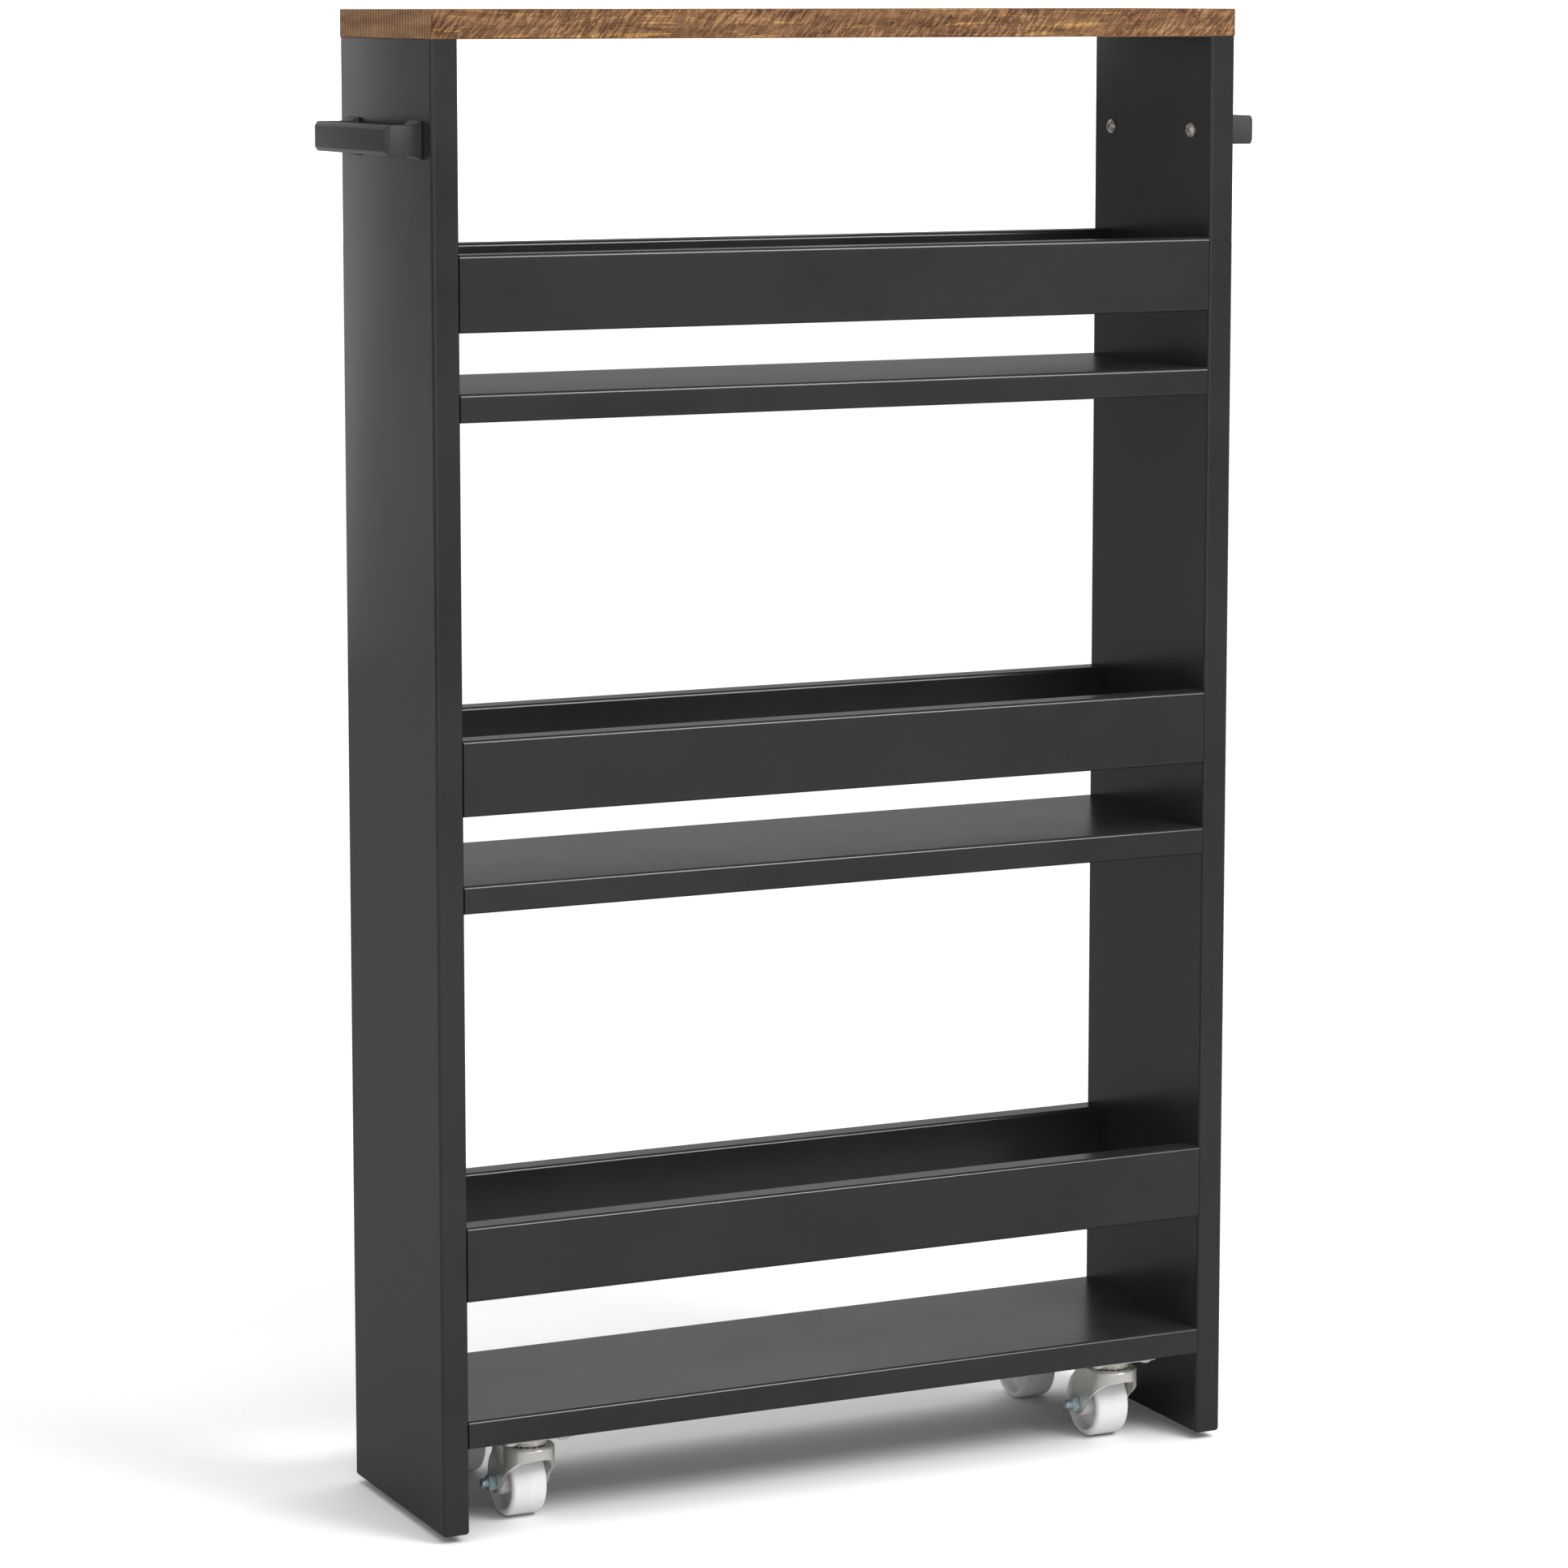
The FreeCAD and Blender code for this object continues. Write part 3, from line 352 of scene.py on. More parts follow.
    def settled_dust(self) -> None:
        """A thin film that gathers on whatever faces up."""
        effect = Effect("settled_dust", {"Amount": 0.1}, ("Mask",))
        wiring, given = effect.wiring, effect.given
        facing = wiring.add("ShaderNodeTexCoord").outputs["Normal"]
        up = wiring.span(wiring.add("ShaderNodeSeparateXYZ", {0: facing}).outputs[2], 0.5, 1.0)
        film = wiring.span(wiring.noise(given["Place"], 24.0, 3.0, 0.5), 0.30, 0.80)
        mask = wiring.times(wiring.times(up, film), given["Amount"])
        wiring.feed(effect.result["Mask"], mask)


# ---------------------------------------------------------------- finishes


@dataclass(frozen=True)
class Finish:
    """One material. Each kind of finish fills in its own wiring."""

    name: str

    def build(self) -> bpy.types.Material:
        """Makes the material with a Principled shader and wires it.

        Returns:
            The finished material.
        """
        material = bpy.data.materials.new(self.name)
        material.use_nodes = True
        material.node_tree.nodes.clear()
        wiring = Wiring(material.node_tree)
        shader = wiring.add("ShaderNodeBsdfPrincipled")
        output = wiring.add("ShaderNodeOutputMaterial")
        wiring.feed(output.inputs["Surface"], shader.outputs[0])
        self.wire(wiring, shader.inputs)
        return material

    def wire(self, wiring: Wiring, shader: bpy.types.NodeInputs) -> None:
        """Fills the shader's sockets; each kind of finish has its own."""
        raise NotImplementedError(self.name)

    @staticmethod
    def bump(wiring: Wiring, shader: bpy.types.NodeInputs, height: Given, depth: float,
             strength: float) -> None:
        """Raises the surface by a height map.

        Args:
            wiring: The material's wiring.
            shader: The shader's inputs.
            height: The height, about from 0 to 1.
            depth: What a height of 1 is, in metres.
            strength: How much of it shows.
        """
        node = wiring.add("ShaderNodeBump", {"Height": height, "Distance": depth,
                                             "Strength": strength})
        wiring.feed(shader["Normal"], node.outputs[0])


@dataclass(frozen=True)
class Painted(Finish):
    """Sprayed paint: satin on the boards, matt powder on the handles."""

    colour: Colour = (0.0155, 0.0155, 0.0158)
    rough: float = 0.24
    rough_swing: float = 0.05
    shade_swing: float = 0.14
    peel_size: float = 700.0
    peel_depth: float = 0.00002
    dust: float = 0.03

    def wire(self, wiring: Wiring, shader: bpy.types.NodeInputs) -> None:
        """Peel, slow clouds of gloss and a trace of dust.

        Args:
            wiring: The material's wiring.
            shader: The shader's inputs.
        """
        place = wiring.object_place()
        skin = Effect.placed(wiring, "sprayed_skin", {"Place": place, "Peel Size": self.peel_size})
        dust = Effect.placed(wiring, "settled_dust", {"Place": place, "Amount": self.dust})
        cloud = skin.outputs["Cloud"]
        darker, lighter = (tuple(share * part for part in self.colour)
                           for share in (1 - self.shade_swing, 1 + self.shade_swing))
        paint = wiring.blend(wiring.span(cloud, 0.3, 0.7), darker, lighter)
        wiring.feed(shader["Base Color"],
                    wiring.blend(dust.outputs["Mask"], paint, (0.30, 0.29, 0.28)))
        half = self.rough_swing / 2
        rough = wiring.span(cloud, 0.3, 0.7, self.rough - half, self.rough + half)
        wiring.feed(shader["Roughness"], wiring.maths("ADD", rough, dust.outputs["Mask"]))
        self.bump(wiring, shader, skin.outputs["Height"], self.peel_depth, 0.35)


@dataclass(frozen=True)
class RusticWood(Finish):
    """Rough-sawn wood on one cut of the top board."""

    cut: WoodCut = WoodCut.FACE
    middle: Vector = field(default_factory=Vector)

    def wire(self, wiring: Wiring, shader: bpy.types.NodeInputs) -> None:
        """The grain laid along this cut, with the marks of its saw.

        Args:
            wiring: The material's wiring.
            shader: The shader's inputs.
        """
        place = wiring.add("ShaderNodeMapping", {"Vector": wiring.object_place(),
                                                 "Location": tuple(-self.middle)}).outputs[0]
        parts = wiring.add("ShaderNodeSeparateXYZ", {0: place}).outputs
        axes = {WoodCut.FACE: (0, 1), WoodCut.LONG_EDGE: (0, 2), WoodCut.END: (1, 2)}[self.cut]
        flat = wiring.add("ShaderNodeCombineXYZ",
                          {0: parts[axes[0]], 1: parts[axes[1]]}).outputs[0]
        values = {
            WoodCut.FACE: {"Saw Turn": 0.25, "Saw Depth": 0.45, "Streaks": 0.8},
            WoodCut.LONG_EDGE: {"Saw Turn": 0.72, "Saw Depth": 1.0, "Streaks": 1.0},
            # The end cut's lift is painted light: its tone is raised because the end of the board
            # gets too little light.
            WoodCut.END: {"Saw Turn": 0.1, "Saw Depth": 0.2, "Line Depth": 0.9, "Streaks": 0.6,
                           "Lift": 0.16},
        }[self.cut]
        grain = Effect.placed(wiring, "rustic_grain", {"Place": flat, **values})
        shader["Specular IOR Level"].default_value = 0.2
        wiring.feed(shader["Base Color"], grain.outputs["Colour"])
        wiring.feed(shader["Roughness"], wiring.span(grain.outputs["Gloss"], 0.2, 1.4, 0.72, 0.46))
        self.bump(wiring, shader, grain.outputs["Height"], 0.0007, 0.85)


@dataclass(frozen=True)
class Metal(Finish):
    """Plated, cast or polished metal."""

    colour: Colour = (0.80, 0.775, 0.715)
    tint: Colour = (0.76, 0.755, 0.715)
    rough: float = 0.22
    metal: float = 0.7
    rub_depth: float = 0.0000006

    def wire(self, wiring: Wiring, shader: bpy.types.NodeInputs) -> None:
        """Blotches of passivation and a faint drawn rub.

        Args:
            wiring: The material's wiring.
            shader: The shader's inputs.
        """
        shader["Metallic"].default_value = self.metal
        rub = Effect.placed(wiring, "fine_rub",
                            {"Place": wiring.object_place(), "Rub Size": 420.0})
        wiring.feed(shader["Base Color"],
                    wiring.blend(rub.outputs["Blotch"], self.colour, self.tint))
        wiring.feed(shader["Roughness"], wiring.span(rub.outputs["Rub"], 0.3, 0.7,
                                                     self.rough * 0.85, self.rough * 1.2))
        self.bump(wiring, shader, rub.outputs["Rub"], self.rub_depth, 0.2)


@dataclass(frozen=True)
class Moulded(Finish):
    """Pale moulded plastic, with fine scuffs all over."""

    colour: Colour = (0.64, 0.625, 0.64)
    scuff: Colour = (0.54, 0.52, 0.51)
    rough: float = 0.38

    def wire(self, wiring: Wiring, shader: bpy.types.NodeInputs) -> None:
        """Soft clouds, fine scuffs and the matt skin of the mould.

        Args:
            wiring: The material's wiring.
            shader: The shader's inputs.
        """
        shader["Subsurface Weight"].default_value = 0.08
        shader["Subsurface Radius"].default_value = (0.002, 0.002, 0.002)
        place = wiring.object_place()
        skin = Effect.placed(wiring, "sprayed_skin", {"Place": place, "Peel Size": 1400.0,
                                                      "Cloud Size": 70.0})
        worn = wiring.span(wiring.noise(wiring.stretched(place, (900.0, 160.0, 160.0)), detail=5.0,
                                        rough=0.7), 0.58, 0.74, 0.0, 0.35)
        wiring.feed(shader["Base Color"], wiring.blend(worn, self.colour, self.scuff))
        wiring.feed(shader["Roughness"], wiring.span(skin.outputs["Cloud"], 0.3, 0.7,
                                                     self.rough - 0.06, self.rough + 0.08))
        self.bump(wiring, shader, skin.outputs["Height"], 0.00003, 0.3)


@dataclass(frozen=True)
class PlainWood(Finish):
    """Turned beech dowels."""

    def wire(self, wiring: Wiring, shader: bpy.types.NodeInputs) -> None:
        """Short pale fibres.

        Args:
            wiring: The material's wiring.
            shader: The shader's inputs.
        """
        place = wiring.object_place()
        fibre = wiring.noise(wiring.stretched(place, (150.0, 1100.0, 1100.0)), detail=5.0)
        wiring.feed(shader["Base Color"], wiring.ramp(fibre, [(0.3, (0.42, 0.27, 0.14)),
                                                              (0.7, (0.66, 0.48, 0.29))]))
        wiring.feed(shader["Roughness"], wiring.span(fibre, 0.3, 0.7, 0.75, 0.55))
        self.bump(wiring, shader, fibre, 0.0001, 0.5)


# ---------------------------------------------------------------- shaping


@dataclass(frozen=True)
class Turn:
    """One corner of a turned profile: its radius, its height and its rounding."""

    radius: float
    height: float
    rounding: float = 0.0


class Workpiece:
    """One piece on the bench: a bmesh that operators shape, in metres."""

    def __init__(self) -> None:
        """Starts with an empty mesh."""
        self.mesh = bmesh.new()

    def plate(self, corners: Sequence[Vector], roundings: Sequence[float] = ()) -> None:
        """Lays a flat outline and rounds its corners.

        Args:
            corners: The outline's corners in order.
            roundings: The radius at each corner, or nothing where it stays sharp.
        """
        points = [self.mesh.verts.new(corner) for corner in corners]
        self.mesh.faces.new(points)
        for point, radius in zip(points, roundings):
            if radius > 0.0:
                self.round_corner(point, radius)

    def round_corner(self, point: bmesh.types.BMVert, radius: float, segments: int = 8) -> None:
        """Rounds one corner of a flat outline.

        Args:
            point: The corner.
            radius: The radius that it gets.
            segments: How many edges go round.
        """
        first, second = (edge.other_vert(point).co - point.co for edge in point.link_edges)
        reach = radius / math.tan(first.angle(second) / 2)
        bmesh.ops.bevel(self.mesh, geom=[point], offset=reach, offset_type="OFFSET",
                        segments=segments, profile=0.5, affect="VERTICES", material=-1)

    def turned(self, profile: Sequence[Turn], steps: int = 64) -> "Workpiece":
        """Turns a profile round Z.

        Args:
            profile: The corners in order; a closed ring, or one that touches the axis.
            steps: How many faces go round.

        Returns:
            This workpiece.
        """
        corners = [Vector((turn.radius, 0.0, turn.height)) for turn in profile]
        self.plate(corners, [turn.rounding for turn in profile])
        bmesh.ops.delete(self.mesh, geom=self.mesh.faces[:], context="FACES_ONLY")
        on_axis = [edge for edge in self.mesh.edges
                   if all(point.co.x < MERGE for point in edge.verts)]
        bmesh.ops.delete(self.mesh, geom=on_axis, context="EDGES")
        bmesh.ops.spin(self.mesh, geom=self.mesh.verts[:] + self.mesh.edges[:], cent=(0, 0, 0),
                       axis=(0, 0, 1), angle=math.tau, steps=steps, use_merge=True)
        return self.closed()

    def prism(self, corners: Sequence[Vector], along: Vector,
              roundings: Sequence[float] = ()) -> "Workpiece":
        """Extrudes an outline into a solid.

        Args:
            corners: The outline's corners in order.
            along: How far and which way it is extruded.
            roundings: The radius at each corner.

        Returns:
            This workpiece.
        """
        self.plate(corners, roundings)
        return self.extruded(along)

    def extruded(self, along: Vector) -> "Workpiece":
        """Extrudes a flat piece into a solid.

        Args:
            along: How far and which way it is extruded.

        Returns:
            This workpiece.
        """
        grown = bmesh.ops.extrude_face_region(self.mesh, geom=self.mesh.faces[:],
                                              use_keep_orig=True)["geom"]
        bmesh.ops.translate(self.mesh, vec=along,
                            verts=[item for item in grown if isinstance(item, bmesh.types.BMVert)])
        return self.closed()

    def blunt_block(self, radius: float, half: float, back: float, low: float, high: float,
                    steps: int) -> "Workpiece":
        """Stands a block with a round front about Z and two flat flanks behind it.

        Args:
            radius: The radius of the front.
            half: Half the width between the flanks.
            back: How far back the flanks run.
            low: The block's bottom.
            high: The block's top.
            steps: How many faces go round the front.

        Returns:
            This workpiece.
        """
        crease = math.sqrt(radius ** 2 - half ** 2)
        start = self.mesh.verts.new((half, crease, high))
        spun = bmesh.ops.spin(self.mesh, geom=[start], cent=(0, 0, 0), axis=(0, 0, -1),
                              angle=math.pi + 2 * math.asin(crease / radius), steps=steps,
                              use_merge=False)
        last = next(item for item in spun["geom_last"] if isinstance(item, bmesh.types.BMVert))
        rears = [bmesh.ops.extrude_vert_indiv(self.mesh, verts=[end])["verts"][0]
                 for end in (start, last)]
        for rear in rears:
            rear.co.y = back
        bmesh.ops.contextual_create(self.mesh, geom=rears)
        bmesh.ops.edgeloop_fill(self.mesh, edges=self.mesh.edges[:])
        return self.extruded(Vector((0, 0, low - high)))

    def hexagon(self, flats: float, height: float) -> "Workpiece":
        """Stands a hexagon bar on z = 0, measured across its flats."""
        bmesh.ops.create_cone(self.mesh, cap_ends=True, segments=6, radius1=flats / math.sqrt(3),
                              radius2=flats / math.sqrt(3), depth=height,
                              matrix=Matrix.Translation((0, 0, height / 2)))
        return self

    def box(self, low: Sequence[float], high: Sequence[float]) -> "Workpiece":
        """Adds a block.

        Args:
            low: Its least corner.
            high: Its greatest corner.

        Returns:
            This workpiece.
        """
        low, high = Vector(low), Vector(high)
        size = Matrix.Diagonal((*(high - low), 1.0))
        bmesh.ops.create_cube(self.mesh, size=1.0,
                              matrix=Matrix.Translation((low + high) / 2) @ size)
        return self

    @staticmethod
    def beyond(axis: int, level: float) -> Callable[[bmesh.types.BMEdge], bool]:
        """Gives a test that picks the edges at or past a level on one axis."""
        return lambda edge: all(point.co[axis] > level - FLAT for point in edge.verts)

    def soften(self, width: float, segments: int = 2, angle: float = 25.0,
               test: Callable[[bmesh.types.BMEdge], bool] = lambda edge: True) -> "Workpiece":
        """Bevels the edges that are sharper than an angle and pass a test.

        Args:
            width: The width of the bevel.
            segments: How many faces it has across.
            angle: The least angle of an edge, in degrees.
            test: Which of those edges are bevelled.

        Returns:
            This workpiece.
        """
        limit = math.radians(angle)
        sharp = [edge for edge in self.mesh.edges
                 if edge.is_manifold and edge.calc_face_angle(0.0) > limit and test(edge)]
        bmesh.ops.bevel(self.mesh, geom=sharp, offset=width, offset_type="OFFSET",
                        segments=segments, profile=0.5, affect="EDGES", material=-1,
                        clamp_overlap=True)
        return self

    def closed(self) -> "Workpiece":
        """Merges doubled corners and turns every face outwards.

        Returns:
            This workpiece.
        """
        bmesh.ops.remove_doubles(self.mesh, verts=self.mesh.verts[:], dist=MERGE)
        bmesh.ops.recalc_face_normals(self.mesh, faces=self.mesh.faces[:])
        return self

    def moved(self, matrix: Matrix) -> "Workpiece":
        """Moves and turns the whole piece."""
        bmesh.ops.transform(self.mesh, matrix=matrix, verts=self.mesh.verts[:])
        return self

    def carved(self, tool: "Workpiece", way: Carve = Carve.CUT) -> "Workpiece":
        """Unites this piece with another, or cuts it by another.

        Args:
            tool: The other piece, which is used up.
            way: What becomes of the two.

        Returns:
            This workpiece.
        """
        base, knife = self.as_object("base"), tool.as_object("knife")
        carve = base.modifiers.new("carve", "BOOLEAN")
        carve.operation, carve.solver, carve.object = way.value, "EXACT", knife
        shaped = base.evaluated_get(bpy.context.evaluated_depsgraph_get()).to_mesh()
        self.mesh.free()
        self.mesh = bmesh.new()
        self.mesh.from_mesh(shaped)
        for used in (base, knife):
            mesh = used.data
            bpy.data.objects.remove(used)
            bpy.data.meshes.remove(mesh)
        bmesh.ops.dissolve_limit(self.mesh, angle_limit=math.radians(0.5),
                                 verts=self.mesh.verts[:], edges=self.mesh.edges[:])
        return self.closed()

    def as_mesh(self, name: str, smooth: float = 32.0) -> bpy.types.Mesh:
        """Writes the piece to a mesh, smooth but for its sharp edges.

        Args:
            name: The mesh's name.
            smooth: The angle past which an edge stays sharp, in degrees.

        Returns:
            The mesh.
        """
        mesh = bpy.data.meshes.new(name)
        self.mesh.to_mesh(mesh)
        mesh.shade_smooth()
        mesh.set_sharp_from_angle(angle=math.radians(smooth))
        return mesh

    def as_object(self, name: str, smooth: float = 32.0) -> bpy.types.Object:
        """Writes the piece to an object that stands at the origin."""
        return put_in_scene(bpy.data.objects.new(name, self.as_mesh(name, smooth)))


# ---------------------------------------------------------------- sub-assemblies


class Paintshop:
    """Holds every finish and puts it on pieces."""

    def __init__(self, wood_middle: Vector) -> None:
        """Builds each finish once.

        Args:
            wood_middle: The middle of the top board, where its grain is centred.
        """
        SharedEffects().build()
        finishes = [
            Painted("satin_grey_paint"),
            Painted("matt_black_powder", colour=(0.026, 0.0265, 0.027), rough=0.47,
                    peel_size=1500.0, peel_depth=0.00004, dust=0.02),
            Metal("zinc_plate"),
            Metal("blue_zinc_plate", colour=(0.50, 0.71, 0.80), tint=(0.64, 0.77, 0.81),
                  rough=0.2),
            Metal("nickel_plate", colour=(0.70, 0.65, 0.62), tint=(0.62, 0.55, 0.53), rough=0.3),
            Metal("cast_alloy", colour=(0.50, 0.50, 0.50), tint=(0.42, 0.42, 0.43), rough=0.45,
                  rub_depth=0.00004),
            Metal("polished_steel", colour=(0.75, 0.75, 0.76), tint=(0.70, 0.70, 0.72), rough=0.08,
                  metal=1.0),
            Moulded("pale_plastic"),
            PlainWood("turned_beech"),
        ]
        finishes += [RusticWood(cut.value, cut, wood_middle) for cut in WoodCut]
        self.materials = {finish.name: finish.build() for finish in finishes}

    def dress(self, piece: bpy.types.Object, *names: str) -> None:
        """Gives a piece its finishes.

        Args:
            piece: The piece.
            *names: The finishes' names, in the order of its faces' slots.
        """
        piece.data.materials.clear()
        for name in names:
            piece.data.materials.append(self.materials[name])

    def dress_nodes(self, nodes: Sequence[str], name: str) -> None:
        """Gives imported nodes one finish; their shape stays as it is.

        Args:
            nodes: The nodes' names.
            name: The finish's name.
        """
        for node in nodes:
            self.dress(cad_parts[node], name)
            log.info("kept %s with %s", node, name)

    def hand_over(self, piece: bpy.types.Object, body: str, slot: str, finish: str,
                  node: str) -> None:
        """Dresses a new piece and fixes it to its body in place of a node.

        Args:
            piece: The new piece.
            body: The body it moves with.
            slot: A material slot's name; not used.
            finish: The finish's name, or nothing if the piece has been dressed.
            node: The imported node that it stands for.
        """
        if finish:
            self.dress(piece, finish)
        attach(piece, body)
        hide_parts(node)
        log.info("made %s for %s, %d faces", piece.name, node, len(piece.data.polygons))


@dataclass
class Cabinet:
    """Side panels, shelves, rails, the wood top and the fittings that join them."""

    shop: Paintshop
    body: str = "cabinet"

    def build(self) -> None:
        """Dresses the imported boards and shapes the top."""
        levels = ("lower", "middle", "upper")
        boards = ["left_side_panel", "right_side_panel"]
        boards += [f"{name}_shelf" for name in ("bottom", "middle", "upper")]
        boards += [f"{level}_{end}_rail" for level in levels for end in ("front", "back")]
        self.shop.dress_nodes(boards, "satin_grey_paint")
        self.shop.dress_nodes(["cam_bolts", "cam_locks"], "cast_alloy")
        self.shop.dress_nodes(["shelf_dowels", "rail_dowels", "top_dowels"], "turned_beech")
        self.shop.dress_nodes(["castor_plate_screws"], "zinc_plate")
        self.top()

    def top(self) -> None:
        """The wood top, with its own cut of wood on the face, the long edges and the ends."""
        work = Workpiece()
        work.mesh.from_mesh(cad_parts["top_board"].data)
        work.closed()
        piece = work.as_object("wood_top", 20.0)
        self.shop.dress(piece, *(cut.value for cut in WoodCut))
        for face in piece.data.polygons:
            across = [abs(part) for part in face.normal]
            face.material_index = {0: 2, 1: 1, 2: 0}[across.index(max(across))]
        self.shop.hand_over(piece, self.body, "wood_top", "", "top_board")


@dataclass
class BarHandle:
    """A cast bar on two legs, with flared feet on the panel."""

    shop: Paintshop
    side: Side
    bar: float = 9.0 * MM
    half: float = 52.8 * MM
    chamfer: float = 2.2 * MM
    leg: float = 13.6 * MM
    rise: float = 15.6 * MM
    foot: float = 17.0 * MM
    foot_edge: float = 0.9 * MM
    foot_taper: float = 4.8 * MM
    soft_edge: float = 0.45 * MM

    def build(self) -> None:
        """Shapes the handle on its side of the cart."""
        name = self.side.name.lower()
        low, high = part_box(f"{name}_handle")
        half, inner = self.half, self.half - self.leg
        reach = high.x - low.x
        under = reach - self.bar
        corners = [(self.foot_taper, -half), (reach, -half), (reach, half),
                   (self.foot_taper, half), (self.foot_taper, inner), (under, inner),
                   (under, -inner), (self.foot_taper, -inner)]
        work = Workpiece().prism([Vector((x, y, -self.rise / 2)) for x, y in corners],
                                 Vector((0, 0, self.rise)))
        self.flare_feet(work, (high.y - low.y) / 2, high.z - low.z)
        work.soften(self.chamfer, 1, 60.0, work.beyond(0, reach))
        work.closed().soften(self.soft_edge, 3, 20.0)
        left = self.side is Side.LEFT
        turn = Matrix.Rotation(math.pi if left else 0.0, 4, "Z")
        spot = Vector((high.x if left else low.x, 0, (low.z + high.z) / 2))
        work.moved(Matrix.Translation(spot) @ turn).closed()
        piece = work.as_object(f"{name}_bar_handle", 40.0)
        self.shop.hand_over(piece, "cabinet", "black_handle", "matt_black_powder",
                            f"{name}_handle")

    def flare_feet(self, work: Workpiece, end: float, height: float) -> None:
        """Widens both legs into feet.

        Args:
            work: The handle, with the panel's face at x = 0.
            end: The outer end of a foot along Y.
            height: The height of a foot.
        """
        for way in (-1, 1):
            sole = next(face for face in work.mesh.faces
                        if face.normal.x < -0.9 and way * face.calc_center_median().y > 0
                        and abs(face.calc_center_median().x - self.foot_taper) < FLAT)
            middle = way * (end - self.foot / 2)
            for x in (self.foot_edge, 0.0):
                sole = bmesh.ops.extrude_discrete_faces(work.mesh, faces=[sole])["faces"][0]
                centre = sole.calc_center_median().y
                for point in sole.verts:
                    out = math.copysign(self.foot / 2, point.co.y - centre)
                    point.co = (x, middle + out, math.copysign(height / 2, point.co.z))
        work.closed()


@dataclass
class HandleScrews:
    """Four pan-head screws through the panels into the handles' legs."""

    shop: Paintshop
    thread: float = 2.0 * MM
    head: float = 4.0 * MM
    head_height: float = 2.4 * MM
    recess: float = 4.4 * MM
    recess_slot: float = 1.0 * MM
    recess_turn: float = 0.5

    def build(self) -> None:
        """Shapes the screws and sets them in their four places."""
        low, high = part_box("handle_screws")
        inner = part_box("left_side_panel")[1].x
        height, line = (low.z + high.z) / 2, high.y - self.head
        work = Workpiece()
        for side in (-1, 1):
            for way in (-1, 1):
                screw = self.screw(abs(low.x - inner))
                turn = (Matrix.Rotation(-side * math.pi / 2, 4, "Y")
                        @ Matrix.Rotation(self.recess_turn * way, 4, "Z"))
                spot = Matrix.Translation((-side * inner, way * line, height))
                work.mesh.from_mesh(screw.moved(spot @ turn).as_mesh("screw"))
        piece = work.as_object("pan_head_screws", 30.0)
        self.shop.hand_over(piece, "cabinet", "bright_screw", "nickel_plate", "handle_screws")

    def screw(self, length: float) -> Workpiece:
        """Turns one screw, head up, seated at z = 0, and cuts its cross.

        Args:
            length: How far it reaches under its head.

        Returns:
            The screw.
        """
        thread, head, top = self.thread, self.head, self.head_height
        work = Workpiece().turned([
            Turn(0.0, -length), Turn(thread * 0.6, -length), Turn(thread, -length * 0.95),
            Turn(thread, 0.0), Turn(head, 0.0, 0.2 * MM),
            Turn(head * 0.97, top * 0.45, 0.5 * MM), Turn(head * 0.62, top, 1.2 * MM),
            Turn(0.0, top)], 40)
        half, slot = self.recess / 2, self.recess_slot / 2
        for x, y in ((half, slot), (slot, half)):
            work.carved(Workpiece().box((-x, -y, top * 0.35), (x, y, top * 1.5)))
        return work


